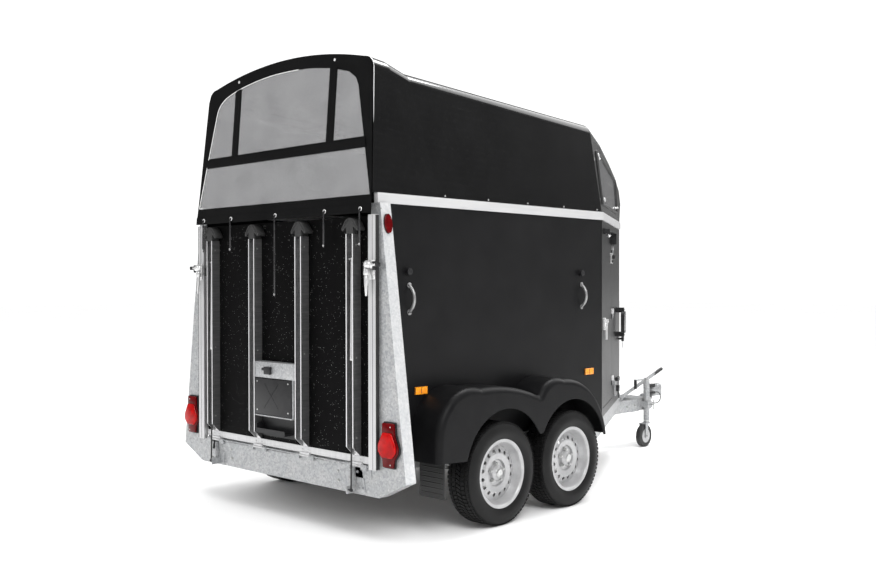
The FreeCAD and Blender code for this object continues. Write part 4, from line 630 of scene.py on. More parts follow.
mesh = bmesh.new()
bandLow, bandHigh = tarpLooks["band"]
sewStrip(mesh, lambda z: windowHalf(z) + 0.012, bandLow, bandHigh, 80, 8, 0.004)
for middle in tarpLooks["straps"]:
    sewStrip(mesh, lambda z: tarpLooks["strapHalf"], bandHigh - 0.006, tarpLooks["strapTop"], 8, 30, 0.0025, middle)
sewStrip(mesh, lambda z: footHalf - 0.002, tarpLow.z + 0.001, tarpLow.z + 0.05, 110, 6, 0.0012)
sewStrip(mesh, lambda z: windowHalf(hemTop) + 0.006, hemTop - 0.012, hemTop + 0.004, 110, 4, 0.001)
finishCloth(mesh, tarpLooks["bandThickness"])
tarpBands = makePiece("tarp_bands", mesh, "tarpCloth")

mesh = bmesh.new()
addTube(mesh, [onTarp(x, z, 0.0022) for x, z in tarpLooks["piping"]], 0.0021)
tarpPiping = makePiece("tarp_piping", mesh, "whitePiping")

mesh = bmesh.new()
for across in tarpLooks["eyelets"]:
    addTube(mesh, ringAt(onTarp(across, tarpLooks["eyeletUp"], 0.003), 0.0115, 10), 0.0028, closed=True, resolution=3)
for across in tarpLooks["snaps"]:
    snapAt = Matrix.Translation(onTarp(across, tarpLooks["snapUp"])) @ facingBack
    addTurned(mesh, [(0.0095, -0.001), (0.009, 0.0025), (0.006, 0.0045), (0.0004, 0.0052)], snapAt, 20)
tarpEyelets = makePiece("tarp_eyelets", mesh, "castMetal")

mesh = bmesh.new()
endRings = bmesh.new()
for across, reach in zip(tarpLooks["eyelets"], tarpLooks["pullers"]):
    top = onTarp(across, tarpLooks["eyeletUp"], 0.007)
    right = [(0.0035, 0.004), (0.0045, -0.05), (0.0075, -reach * 0.45), (0.0085, -reach + 0.01), (0.005, -reach)]
    outline = [(-0.0035, 0.004)] + right + [(-x, z) for x, z in reversed(right[1:])]
    addPlate(mesh, outline, 0.0035, Matrix.Translation(top) @ facingBack, edge=0.0009)
    welt = [(0.003, 0.0), (0.004, -0.05), (0.0068, -reach * 0.45), (0.0078, -reach + 0.012), (0.0035, -reach + 0.003)]
    for side in bothWays:
        addTube(mesh, [top + Vector((side * x, -0.0035, z)) for x, z in welt], 0.0014)
    addTube(endRings, ringAt(top + Vector((0, -0.006, -reach + 0.012)), 0.0055, 8), 0.0013, closed=True, resolution=3)
tarpPullers = makePiece("tarp_pullers", mesh, "strapRubber")
pullerRings = makePiece("puller_rings", endRings, "castMetal")
print("tarp made, cloth area", clothArea)


# Trim along the hood's rear edge, screws in its flange, rivets and bolts on the portal

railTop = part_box("belt_rail")[1].z
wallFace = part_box("side_wall_right")[1].x
portalLow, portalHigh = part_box("rear_portal")
backFace = portalLow.y
postLow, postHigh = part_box("door_posts")
trimLooks = {"foot": 1.994, "steps": 12, "radius": 0.0028, "proud": (0.0008, 0.0035, -0.002),
             "over": [(0.806, 2.742), (0.78, 2.768), (0.7365, 2.7815), (0.55, 2.82), (0.3, 2.857), (0.0, 2.8705)]}
portalLooks = {
    "flangeScrews": {"from": -2.02, "gap": 0.4, "count": 6, "up": 0.014},
    "sillBolts": [(0.534, 0.385), (0.534, 0.33)],
    "rivets": [(0.895, 0.391), (1.045, 0.396), (0.96, 0.326), (0.892, 0.292), (0.905, 1.9), (0.86, 1.905)],
    "gusset": (0.728, 0.357), "gussetOutline": [(-0.046, -0.072), (0.046, -0.072), (0.012, 0.07), (-0.046, 0.07)],
    "gussetBolts": [(0.712, 0.312), (0.75, 0.312), (0.706, 0.402)],
    "seal": (0.8535, 0.8565),
}
mesh = bmesh.new()
edgeRun = []
for step in range(trimLooks["steps"] + 1):
    z = trimLooks["foot"] + (shoulderTop - trimLooks["foot"]) * step / trimLooks["steps"]
    edgeRun.append((footHalf + (shoulderHalf - footHalf) * (z - tarpLow.z) / (shoulderTop - tarpLow.z), z))
proud = Vector(trimLooks["proud"])
rightRun = [Vector((x, tarpLow.y + skin + tarpLean * (z - tarpLow.z), z)) + proud
            for x, z in edgeRun + trimLooks["over"]]
leftRun = [Vector((-spot.x, spot.y, spot.z)) for spot in reversed(rightRun[:-1])]
addTube(mesh, rightRun + leftRun, trimLooks["radius"], resolution=4)
makePiece("hood_edge_trim", mesh, "railAluminium")

mesh = bmesh.new()
flange = portalLooks["flangeScrews"]
spots = [(wallFace - 0.0002, flange["from"] + flange["gap"] * step, railTop + flange["up"])
         for step in range(flange["count"])]
addScrews(mesh, spots, (0.0035, 0, 0), 0.006, 14, 0.001)
makePiece("hood_flange_screws", mesh, "zincFastener", both=True)

mesh = bmesh.new()
addNuts(mesh, [(across, backFace, up) for across, up in portalLooks["sillBolts"]], toBack, 0.0085, 0.008)
addScrews(mesh, [(across, backFace, up) for across, up in portalLooks["rivets"]], (0, -0.0022, 0), 0.0048, edge=0.001)
makePiece("portal_bolts", mesh, "zincFastener", both=True)

mesh = bmesh.new()
across, up = portalLooks["gusset"]
addPlate(mesh, portalLooks["gussetOutline"], 0.004, moved(across, backFace, up) @ facingBack, corner=0.006)
addBlock(mesh, (0.6835, backFace - 0.03, 0.288), (0.6875, backFace - 0.003, 0.424))
addNuts(mesh, [(across, backFace - 0.004, up) for across, up in portalLooks["gussetBolts"]], toBack, 0.0065, 0.007)
makePiece("portal_gussets", mesh, "galvanisedSteel", both=True)

mesh = bmesh.new()
sealIn, sealOut = portalLooks["seal"]
sealFoot, sealTop = postLow.z + 0.004, postHigh.z - 0.004
for low, high in (((sealIn, sealFoot), (sealOut, postLow.y + 0.002, sealTop)),
                  ((postHigh.x - 0.0006, sealFoot), (postHigh.x + 0.0034, postHigh.y - 0.002, sealTop))):
    addBlock(mesh, (low[0], postLow.y - 0.0006, low[1]), high, 0.0005)
makePiece("post_seals", mesh, "blackRubber", both=True)
print("portal details made")


# Tail lamps: a red body with a bulged bright middle, a dark rim and screws

lampLow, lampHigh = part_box("tail_lamps")
lampLooks = {
    "inner": 0.895, "screws": (0.104, -0.106), "corner": 0.008,
    "body": [(-0.048, 0.127), (0.048, 0.127), (0.052, 0.06), (0.079, -0.008), (0.079, -0.042), (0.046, -0.083),
             (0.044, -0.127), (-0.044, -0.127), (-0.046, -0.083), (-0.079, -0.042), (-0.079, -0.008), (-0.052, 0.06)],
    "middle": [(-0.034, 0.072), (0.034, 0.072), (0.07, 0.0), (0.07, -0.036), (0.04, -0.07), (-0.04, -0.07),
               (-0.07, -0.036), (-0.07, 0.0)],
}
lampSpot = ((lampHigh.x + lampLooks["inner"]) / 2, backFace - 0.0005, (lampLow.z + lampHigh.z) / 2)
lampFacing = Matrix.Translation(lampSpot) @ facingBack
for piece, shape, grow, start, depth, finish, soft, stands in (
        ("lamp_rims", "body", (1.03, 1.02), 0.0, 0.01, "blackPlastic", 0.002, "tail_lamps"),
        ("lamp_bodies", "body", (0.97, 0.98), 0.009, 0.016, "redLens", 0.006, None),
        ("lamp_middles", "middle", (1, 1), 0.022, 0.0155, "brightRedLens", 0.009, None)):
    mesh = bmesh.new()
    outline = [(x * grow[0], z * grow[1]) for x, z in lampLooks[shape]]
    addPlate(mesh, outline, depth, lampFacing @ moved(0, 0, start), lampLooks["corner"], soft)
    makePiece(piece, mesh, finish, stands=stands, both=True, crease=50)
mesh = bmesh.new()
addScrews(mesh, [lampFacing @ Vector((0.022, up, 0.024)) for up in lampLooks["screws"]], (0, -0.0025, 0), 0.0042)
makePiece("lamp_screws", mesh, "zincFastener", both=True)
print("tail lamps made")


# Ramp furniture: rivets, strut collars, rubber feet, the number plate's board and its lamp

rampLooks = {
    "profiles": (-0.7, -0.234, 0.234, 0.7), "rivetRows": (1.057, 1.7, 0.6), "footRivets": 0.474, "collarUp": 1.046,
    "collar": [(0.006, -0.006), (0.0132, -0.005), (0.0146, 0.0), (0.0146, 0.012), (0.0132, 0.015)],
    "foot": [(0.01, -0.001), (0.034, -0.01), (0.071, -0.062), (0.062, -0.078), (0.04, -0.058), (0.0295, -0.05),
             (0.0295, -0.092)],
    "footRib": [(0.012, -0.01), (0.034, -0.026), (0.058, -0.062)],
}
mesh = bmesh.new()
for across in rampLooks["profiles"]:
    for side in bothWays:
        spots = [(across + side * 0.031, backFace - 0.035, up) for up in rampLooks["rivetRows"]]
        addScrews(mesh, spots, (side * 0.0025, 0, 0), 0.0045)
        addScrews(mesh, [(across + side * 0.03, backFace - 0.004, rampLooks["footRivets"])], (0, -0.0026, 0), 0.0052,
                  14, 0.0009)
makePiece("ramp_rivets", mesh, "zincFastener", body="ramp")

for side, across in (("right", 0.7), ("left", -0.7)):
    mesh = bmesh.new()
    addTurned(mesh, rampLooks["collar"], moved(across, backFace - 0.0386, rampLooks["collarUp"]), 24)
    makePiece(f"strut_collar_{side}", mesh, "castMetal", body=f"strut_tube_{side[0]}")

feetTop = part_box("ramp_feet")[1].z
mesh = bmesh.new()
footOutline = rampLooks["foot"] + [(-x, z) for x, z in reversed(rampLooks["foot"])]
for across in rampLooks["profiles"]:
    facing = moved(across, backFace - 0.0005, feetTop) @ facingBack
    addPlate(mesh, footOutline, 0.059, facing, corner=0.006, edge=0.003)
    for side in bothWays:
        addTube(mesh, [facing @ Vector((side * x, z, 0.0605)) for x, z in rampLooks["footRib"]], 0.003)
makePiece("ramp_rubber_feet", mesh, "blackRubber", body="ramp", stands="ramp_feet", crease=45)

boardLooks = {
    "left": -0.196, "right": 0.18, "low": 0.662, "high": 0.888, "stripHigh": 0.992, "stand": 0.058, "edge": 0.0012,
    "braces": (((-0.1, 0.86), (0.045, 0.705)), ((0.045, 0.86), (-0.1, 0.705))),
    "screws": ((-0.168, 0.142), (0.868, 0.69)), "stripScrews": ((-0.185, 0.175), 0.976),
}
low, high, stripHigh = (boardLooks[key] for key in ("low", "high", "stripHigh"))
boardFace = backFace - boardLooks["stand"]
frameFront, frameBack = boardFace + 0.003, backFace - 0.001
mesh = bmesh.new()
for first, second in (((-0.2, high + 0.004), (0.2, frameFront, stripHigh)),
                      ((-0.2, stripHigh - 0.003), (0.2, frameBack, stripHigh)),
                      ((0.186, low - 0.012), (0.19, frameBack, stripHigh)),
                      ((0.172, low - 0.012), (0.19, frameFront, high + 0.006)),
                      ((-0.2, low - 0.012), (0.19, frameFront, low - 0.004))):
    addBlock(mesh, (first[0], boardFace, first[1]), second, boardLooks["edge"])
makePiece("plate_frame", mesh, "galvanisedSteel", body="ramp", stands="plate_holder")
mesh = bmesh.new()
addBlock(mesh, (boardLooks["left"], boardFace - 0.006, low), (boardLooks["right"] - 0.008, boardFace + 0.001, high),
         0.003, steps=3)
for (startX, startZ), (endX, endZ) in boardLooks["braces"]:
    reach = math.hypot(endX - startX, endZ - startZ) / 2
    lying = moved((startX + endX) / 2, boardFace - 0.0062, (startZ + endZ) / 2)
    lying = lying @ Matrix.Rotation(math.atan2(startZ - endZ, endX - startX), 4, "Y")
    addBlock(mesh, (-reach, -0.0012, -0.0016), (reach, 0.001, 0.0016), 0.0005, lying)
addBlock(mesh, (-0.09, boardFace - 0.018, 0.915), (-0.028, boardFace, 0.962), 0.004, steps=3)
addBlock(mesh, (-0.118, boardFace - 0.013, 0.937), (-0.086, boardFace, 0.955), 0.003)
makePiece("plate_board", mesh, "blackPlastic", body="ramp")
mesh = bmesh.new()
columns, rows = boardLooks["screws"]
addScrews(mesh, [(x, boardFace - 0.005, z) for x in columns for z in rows], (0, -0.0035, 0), 0.005, 14, 0.001)
columns, up = boardLooks["stripScrews"]
addScrews(mesh, [(x, boardFace, up) for x in columns], (0, -0.003, 0), 0.0045)
makePiece("plate_screws", mesh, "zincFastener", body="ramp")
mesh = bmesh.new()
addBlock(mesh, (-0.082, boardFace - 0.0185, 0.9135), (-0.036, boardFace - 0.004, 0.917), 0.001)
makePiece("plate_lamp_lens", mesh, "greyLens", body="ramp")
print("ramp details made")


# Ramp locks: cast levers on the posts, with a bolt into the ramp's catches

lockLooks = {
    "across": 0.85, "up": 1.56, "boltUp": 0.024,
    "lever": [(-0.013, -0.034), (0.013, -0.034), (0.014, -0.06), (0.008, -0.11), (0.005, -0.15), (-0.003, -0.152),
              (-0.008, -0.11), (-0.013, -0.06)],
}
lockAt = moved(lockLooks["across"], postLow.y, lockLooks["up"])
boltUp = lockLooks["boltUp"]
mesh = bmesh.new()
addBlock(mesh, (-0.018, -0.006, -0.058), (0.03, 0.0, 0.052), 0.003, lockAt)
addRod(mesh, (-0.034, -0.024, boltUp), (0.07, -0.024, boltUp), 0.0085, edge=0.001, at=lockAt)
addBall(mesh, (-0.008, -0.026, 0.026), 0.024, (1.1, 0.8, 1.0), lockAt)
addBall(mesh, (0.024, -0.022, 0.022), 0.018, (1.0, 0.85, 1.1), lockAt)
addRod(mesh, (-0.012, -0.03, 0.0), (-0.012, -0.03, -0.034), 0.0165, edge=0.003, at=lockAt)
addPlate(mesh, lockLooks["lever"], 0.012, lockAt @ moved(-0.012, -0.026, 0) @ facingBack, edge=0.0035)
addBlock(mesh, (-0.04, -0.024, -0.012), (-0.028, 0.0, 0.036), 0.002, lockAt)
makePiece("ramp_lock_levers", mesh, "castMetal", stands="ramp_locks", both=True, crease=42)
mesh = bmesh.new()
addBlock(mesh, (0.062, -0.036, 0.012), (0.086, -0.012, 0.036), 0.003, lockAt)
addBlock(mesh, (0.034, -0.03, -0.006), (0.048, -0.002, 0.044), 0.002, lockAt)
makePiece("ramp_lock_stops", mesh, "blackPlastic", both=True)
print("locks made")


# Side lamps, reflectors and grab handles

portalTopHalf = max(vert.co.x for vert in cadNodes["rear_portal"].data.vertices if vert.co.z > portalHigh.z - 0.002)
edgeRise = (portalHigh.x - portalTopHalf) / (portalHigh.z - portalLow.z)
markerLooks = {"up": 1.815, "half": (0.0268, 0.0556), "skin": 0.0026, "points": 16, "proud": 0.003}
rim = []
for index in range(markerLooks["points"]):
    turn = 2 * math.pi * index / markerLooks["points"]
    y = (portalLow.y + portalHigh.y) / 2 + markerLooks["half"][0] * math.cos(turn)
    z = markerLooks["up"] + markerLooks["half"][1] * math.sin(turn)
    rim.append((portalTopHalf + (portalHigh.z - z) * edgeRise + markerLooks["proud"], y, z))
mesh = bmesh.new()
addTube(mesh, rim, markerLooks["skin"], closed=True, resolution=3)
makePiece("marker_rims", mesh, "blackPlastic", both=True)

reflectorLooks = {
    "low": 0.83, "high": 0.87, "spans": ((-1.8825, -1.7825), (-0.1715, -0.0715)), "edge": 0.0026, "corner": 0.004,
    "facets": 15, "facetGap": 0.0064, "facet": 0.0014, "bar": 0.002,
}
low, high, corner, bar = (reflectorLooks[key] for key in ("low", "high", "corner", "bar"))
mesh = bmesh.new()
frames = bmesh.new()
for rear, lead in reflectorLooks["spans"]:
    foot = [(wallFace + 0.0055, y, low) for y in (rear, rear + corner, lead - corner, lead)]
    head = [(x, y, high) for x, y, z in reversed(foot)]
    addTube(frames, foot + head, reflectorLooks["edge"], closed=True, resolution=3)
    middle = (rear + lead) / 2
    addBlock(frames, (wallFace + 0.0005, middle - bar, low + bar), (wallFace + 0.0092, middle + bar, high - bar),
             0.0008)
    spots = [(wallFace + 0.0078, rear + 0.005 + reflectorLooks["facetGap"] * column, low + corner)
             for column in range(reflectorLooks["facets"])]
    addScrews(mesh, spots, (0, 0, high - low - 2 * corner), reflectorLooks["facet"], 8, 0.0)
makePiece("reflector_facets", mesh, "amberLens", both=True)
makePiece("reflector_frames", frames, "blackPlastic", both=True)

handleLooks = {
    "places": (-1.9255, -0.2095), "ends": (1.31, 1.47), "screw": 0.0042, "screwHalf": 0.011, "knobUp": 1.548,
    "knob": [(0.0145, -0.001), (0.014, 0.0016), (0.011, 0.0022), (0.01, 0.0008), (0.0004, 0.0008)],
}
mesh = bmesh.new()
for place in handleLooks["places"]:
    spots = [(wallFace + 0.004, place + side * handleLooks["screwHalf"], up)
             for up in handleLooks["ends"] for side in bothWays]
    addScrews(mesh, spots, (0.0022, 0, 0), handleLooks["screw"], 10, 0.0006)
    knob = moved(wallFace + 0.0236, place - 0.015, handleLooks["knobUp"]) @ Matrix.Rotation(math.radians(90), 4, "Y")
    addTurned(mesh, handleLooks["knob"], knob, 20)
makePiece("handle_screws", mesh, "blackPlastic", both=True)
print("side details made")


# Entry door, its latch and lock, and the fittings on the slanted wall beside it

def slantPlate(along, out, up):
    return slantAt @ moved(along, -out, up) @ facingBack


def screwSlant(mesh, columns, rows, out, reach, radius):
    addScrews(mesh, [(along, -out, up) for along in columns for up in rows], (0, -reach, 0), radius, at=slantAt)


def roundedBox(half, tall, corner):
    outline = []
    for across, up, start in ((half, tall, 0), (-half, tall, 90), (-half, -tall, 180), (half, -tall, 270)):
        for step in range(5):
            turn = math.radians(start + step * 22.5)
            outline.append((math.copysign(abs(across) - corner, across) + corner * math.cos(turn),
                            math.copysign(abs(up) - corner, up) + corner * math.sin(turn)))
    return outline


doorLooks = {
    "hinges": (0.6659, 1.1955, 1.6986), "lock": (0.122, 1.176), "latch": (0.643, 1.672), "ball": (0.111, 1.826),
    "screw": 0.0038, "wallSide": (0.728, (0.01, 0.03)), "doorSide": (0.686, (0.051, 0.071)),
    "lockScrews": ((-0.026, 0.022), (0.036, -0.036)), "latchScrews": ((-0.027, 0.027), (0.034, -0.034)),
}
lockAlong, lockUp = doorLooks["lock"]
latchAlong, latchUp = doorLooks["latch"]
ballAlong, ballUp = doorLooks["ball"]
doorScrews = bmesh.new()
wallScrews = bmesh.new()
for mesh, key in ((wallScrews, "wallSide"), (doorScrews, "doorSide")):
    along, lifts = doorLooks[key]
    screwSlant(mesh, [along], [up + lift for up in doorLooks["hinges"] for lift in lifts], 0.0035, 0.0027,
               doorLooks["screw"])
for key, along, up, out in (("lockScrews", lockAlong, lockUp, 0.0115), ("latchScrews", latchAlong, latchUp, 0.0095)):
    columns, rows = doorLooks[key]
    screwSlant(doorScrews, [along + across for across in columns], [up + rise for rise in rows], out, 0.003,
               doorLooks["screw"])
addTurned(doorScrews, [(0.015, -0.001), (0.0145, 0.003), (0.0105, 0.0042), (0.0098, 0.002), (0.0004, 0.002)],
          slantPlate(lockAlong - 0.01, 0.012, lockUp - 0.008), 24)
addBlock(doorScrews, (lockAlong + 0.016, -0.034, lockUp + 0.01), (lockAlong + 0.034, -0.024, lockUp + 0.034), 0.003,
         slantAt)
addBall(doorScrews, (ballAlong, -0.04, ballUp), 0.0125, at=slantAt)
makePiece("door_screws", doorScrews, "castMetal", body="entry_door")
makePiece("hinge_screws", wallScrews, "zincFastener")
mesh = bmesh.new()
addTurned(mesh, [(0.0185, 0.0), (0.0185, 0.009), (0.0165, 0.0125), (0.0004, 0.0135)],
          slantPlate(latchAlong, 0.0225, latchUp + 0.014), 24)
addBlock(mesh, (latchAlong - 0.02, -0.02, latchUp - 0.036), (latchAlong + 0.02, -0.011, latchUp - 0.012), 0.003,
         slantAt)
makePiece("latch_button", mesh, "blackPlastic", body="entry_door")

fittingLooks = {
    "lamp": (1.075, 1.154), "lampHalf": (0.047, 0.07), "ribs": 9, "ribGap": 0.013, "toggle": (0.925, 0.625),
    "barUp": 0.7, "holderScrews": ((0.897, 0.953), (0.58, 0.672)),
    "hook": [(1.25, 1.003), (1.262, 0.992), (1.27, 0.965), (1.266, 0.938), (1.252, 0.93), (1.238, 0.938),
             (1.24, 0.95)],
    "loop": [(-0.012, 0.03, -0.022), (-0.034, 0.036, -0.038), (-0.04, 0.038, -0.064), (-0.018, 0.038, -0.084),
             (0.022, 0.038, -0.08), (0.036, 0.036, -0.056), (0.026, 0.032, -0.034), (0.01, 0.03, -0.022)],
}
lampAlong, lampRise = fittingLooks["lamp"]
mesh = bmesh.new()
lens = roundedBox(*fittingLooks["lampHalf"], 0.014)
addPlate(mesh, lens, 0.0095, slantPlate(lampAlong, 0.0635, lampRise), edge=0.004)
for step in range(fittingLooks["ribs"]):
    up = lampRise - 0.052 + fittingLooks["ribGap"] * step
    addBlock(mesh, (lampAlong - 0.038, -0.0742, up - 0.002), (lampAlong + 0.038, -0.0722, up + 0.002), 0.0008,
             slantAt)
makePiece("front_marker_lens", mesh, "greyLens")
mesh = bmesh.new()
lampBolts = [slantAt @ Vector((lampAlong, -0.066, lampRise + lift)) for lift in (-0.104, 0.104)]
addNuts(mesh, lampBolts, -slantIn, 0.0055, 0.005)
addTube(mesh, [slantAt @ Vector((along, -0.036, up)) for along, up in fittingLooks["hook"]], 0.0024)
makePiece("hook_wire", mesh, "zincFastener")
toggleAlong, toggleUp = fittingLooks["toggle"]
barUp = fittingLooks["barUp"]
mesh = bmesh.new()
addBlock(mesh, (toggleAlong - 0.017, -0.042, toggleUp - 0.028), (toggleAlong + 0.017, -0.0135, toggleUp + 0.022),
         0.005, slantAt, steps=3)
addRod(mesh, (toggleAlong - 0.06, -0.027, barUp), (toggleAlong + 0.06, -0.027, barUp), 0.0145, edge=0.004, at=slantAt)
loop = [slantAt @ Vector((toggleAlong + along, -out, toggleUp + up)) for along, out, up in fittingLooks["loop"]]
addTube(mesh, loop, 0.0036)
makePiece("holder_toggle", mesh, "strapRubber")
mesh = bmesh.new()
screwSlant(mesh, *fittingLooks["holderScrews"], 0.0135, 0.003, 0.004)
makePiece("holder_screws", mesh, "zincFastener")
print("front wall fittings made")


# Rubber frames, stays and catches of the nose windows, following the hood's curved skin

paneTree = treeOf("nose_windows")
windowLooks = {
    "rear": 0.106, "front": 1.144, "low": 2.061, "high": 2.453, "fall": 0.128, "corner": 0.05, "radius": 0.0105,
    "stays": (((0.14, 2.1), (0.235, 2.092)), ((0.14, 2.395), (0.14, 2.43)), ((1.085, 2.1), (1.0, 2.092))),
}
rear, front, low, corner = (windowLooks[key] for key in ("rear", "front", "low", "corner"))


def onPane(along, up, proud=0.0):
    start = slantAt @ Vector((along, -1.0, up))
    return paneTree.ray_cast(start, slantIn, 2.0)[0] - slantIn * proud


def paneTop(along):
    return windowLooks["high"] - windowLooks["fall"] * (along - rear) / (front - rear)


cut = 0.012
middles = [rear + (front - rear) * share for share in (0.25, 0.5, 0.75)]
border = [(rear, low + corner), (rear, low + cut), (rear + cut, low), (rear + corner, low)]
border += [(along, low) for along in middles]
border += [(front - corner, low), (front - cut, low), (front, low + cut), (front, low + corner), (front, 2.19),
           (front, paneTop(front) - corner), (front, paneTop(front) - cut), (front - cut, paneTop(front - cut)),
           (front - corner, paneTop(front - corner))]
border += [(along, paneTop(along)) for along in reversed(middles)]
border += [(rear + corner, paneTop(rear + corner)), (rear + cut, paneTop(rear + cut)), (rear, paneTop(rear) - cut),
           (rear, paneTop(rear) - corner), (rear, 2.25)]
mesh = bmesh.new()
addTube(mesh, [onPane(along, up, 0.002) for along, up in border], windowLooks["radius"], closed=True)
makePiece("window_frames", mesh, "blackRubber", both=True)
mesh = bmesh.new()
for start, end in windowLooks["stays"]:
    pivot = onPane(*start, 0.016)
    addRod(mesh, pivot, onPane(*end, 0.012), 0.0048, 14, 0.001)
    addBall(mesh, pivot, 0.0085)
    addRod(mesh, onPane(*end, 0.0), onPane(*end, 0.014), 0.0095, 18, 0.002)
makePiece("window_stays", mesh, "castMetal", both=True)
print("window frames made")


# Mudguard lips, and the flaps' bolts and ribs

guardLooks = {
    "wheels": (-1.3385, -0.6285), "half": 0.351, "low": 0.44, "crown": 0.719, "fork": 0.528, "lip": 0.0042,
    "steps": 18, "flapBolts": (0.895, 0.96, 1.025), "boltUp": 0.548, "flap": (0.876, 1.046), "ribFoot": 0.262,
    "ribGap": 0.03, "ribs": 9, "ribHalf": 0.003,
}


def arcThrough(first, top, last):
    # Points on the circle through three places given as along and up.
    (ay, az), (by, bz), (cy, cz) = first, top, last
    scale = 2 * (ay * (bz - cz) + by * (cz - az) + cy * (az - bz))
    squares = [y * y + z * z for y, z in (first, top, last)]
    middleY = (squares[0] * (bz - cz) + squares[1] * (cz - az) + squares[2] * (az - bz)) / scale
    middleZ = (squares[0] * (cy - by) + squares[1] * (ay - cy) + squares[2] * (by - ay)) / scale
    radius = math.hypot(ay - middleY, az - middleZ)
    start, end = (math.atan2(z - middleZ, y - middleY) for y, z in (first, last))
    if start < end:
        start += 2 * math.pi
    steps = guardLooks["steps"]
    turns = [start + (end - start) * step / steps for step in range(steps + 1)]
    return [(middleY + radius * math.cos(turn), middleZ + radius * math.sin(turn)) for turn in turns]


rearWheel, frontWheel = guardLooks["wheels"]
half, low, crown, fork = (guardLooks[key] for key in ("half", "low", "crown", "fork"))
between = (rearWheel + frontWheel) / 2
lipAcross = max(vert.co.x for vert in cadNodes["mudguard_right"].data.vertices if vert.co.z < crown + 0.002)
lipRun = arcThrough((rearWheel - half, low), (rearWheel, crown), (between - 0.012, fork))
lipRun += arcThrough((between + 0.024, fork), (frontWheel, crown), (frontWheel + half, low))
mesh = bmesh.new()
addTube(mesh, [(lipAcross - 0.0044, y, z) for y, z in lipRun], guardLooks["lip"])
makePiece("guard_lips", mesh, "guardPlastic", both=True)

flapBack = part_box("mudflaps")[0].y
mesh = bmesh.new()
addNuts(mesh, [(across, flapBack, guardLooks["boltUp"]) for across in guardLooks["flapBolts"]], toBack, 0.006, 0.006)
makePiece("flap_bolts", mesh, "zincFastener", both=True)
mesh = bmesh.new()
flapIn, flapOut = guardLooks["flap"]
for step in range(guardLooks["ribs"]):
    up = guardLooks["ribFoot"] + guardLooks["ribGap"] * step
    addBlock(mesh, (flapIn, flapBack - 0.0024, up - guardLooks["ribHalf"]),
             (flapOut, flapBack + 0.0004, up + guardLooks["ribHalf"]), 0.001)
makePiece("flap_ribs", mesh, "blackRubber", both=True)
print("mudguard details made")


# Drawbar: bellows, coupling, lever grip, jockey wheel furniture

drawLooks = {
    "axis": 0.415, "bellows": (2.0432, 2.0818), "folds": 5, "ball": (2.2305, 0.421), "beam": 0.1,
    "jockey": (0.13, 1.8325), "clamp": (0.16, 0.204, 0.212, 0.38), "gripStart": (0.064, 2.0814, 0.6341),
    "gripHeading": (0, 0.9556, 0.2948), "crankUp": 0.524, "ribs": 5,
}
clampIn, clampHandle, clampOut, clampUp = drawLooks["clamp"]
jockeyX, jockeyY = drawLooks["jockey"]
ballY, ballZ = drawLooks["ball"]
rear, lead = drawLooks["bellows"]
fold = (lead - rear) / drawLooks["folds"]
outline = [(0.027, 0.0)]
for index in range(drawLooks["folds"]):
    outline += [(radius, fold * (index + share))
                for radius, share in ((0.03, 0.05), (0.0375, 0.35), (0.0375, 0.6), (0.03, 0.95))]
outline += [(0.027, lead - rear)]
mesh = bmesh.new()
addTurned(mesh, outline, moved(0, rear, drawLooks["axis"]) @ facingFront, 32)
makePiece("overrun_bellows", mesh, "blackRubber")

couplingLow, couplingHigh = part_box("coupling_head")
ribUp = couplingHigh.z - 0.0205
mesh = bmesh.new()
addBlock(mesh, (-0.0195, couplingLow.y - 0.001, couplingHigh.z - 0.021),
         (0.0195, couplingLow.y + 0.098, couplingHigh.z + 0.002), 0.006, steps=3)
spots = [(-0.0205, couplingLow.y + 0.018 + 0.016 * step, ribUp) for step in range(drawLooks["ribs"])]
addScrews(mesh, spots, (0.041, 0, 0), 0.004, edge=0.001)
grip = [(0.0128, -0.004), (0.0152, 0.0), (0.0152, 0.01)]
for step in range(drawLooks["ribs"]):
    start = 0.014 + 0.02 * step
    grip += [(0.0138, start), (0.0138, start + 0.004), (0.0152, start + 0.009), (0.0152, start + 0.014)]
grip += [(0.015, 0.122), (0.0118, 0.1295), (0.0004, 0.1318)]
addTurned(mesh, grip, aimed(drawLooks["gripStart"], drawLooks["gripHeading"]), 28)
addTurned(mesh, [(0.0004, -0.0012), (0.0125, 0.0), (0.0135, 0.006), (0.0128, 0.03), (0.0136, 0.052), (0.0122, 0.0795),
                 (0.0075, 0.0815)], moved(crankLow.x + 0.012, crankLow.y + 0.012, drawLooks["crankUp"]), 24)
makePiece("drawbar_grips", mesh, "blackPlastic")

mesh = bmesh.new()
for side in bothWays:
    addNuts(mesh, [(side * 0.038, y, 0.446) for y in (2.106, 2.142)], (side, 0, 0), 0.0085, 0.008)
    addNuts(mesh, [(side * drawLooks["beam"], y, 0.376) for y in (1.56, 1.69, 1.93)], (side, 0, 0), 0.0085, 0.008)
    addNuts(mesh, [(side * 0.034, y, 0.459) for y in (1.592, 1.728)], (0, 0, 1), 0.0055, 0.005)
    addBall(mesh, (clampHandle, jockeyY, clampUp + side * 0.035), 0.0075)
addRod(mesh, (clampIn, jockeyY, clampUp), (clampOut, jockeyY, clampUp), 0.006, 16, 0.001)
addRod(mesh, (clampHandle, jockeyY, clampUp - 0.035), (clampHandle, jockeyY, clampUp + 0.035), 0.0048, 14, 0.001)
for up, radius in ((0.226, 0.0298), (0.586, 0.03)):
    collar = [(0.0276, 0.0), (radius, 0.001), (radius, 0.009), (0.0276, 0.01)]
    addTurned(mesh, collar, moved(jockeyX, jockeyY, up), 32)
addTurned(mesh, [(0.0405, 0.0005), (0.0425, 0.0005), (0.0432, 0.003), (0.0425, 0.006), (0.0418, 0.0065)],
          moved(0, ballY, ballZ), 36)
makePiece("drawbar_bolts", mesh, "zincFastener")

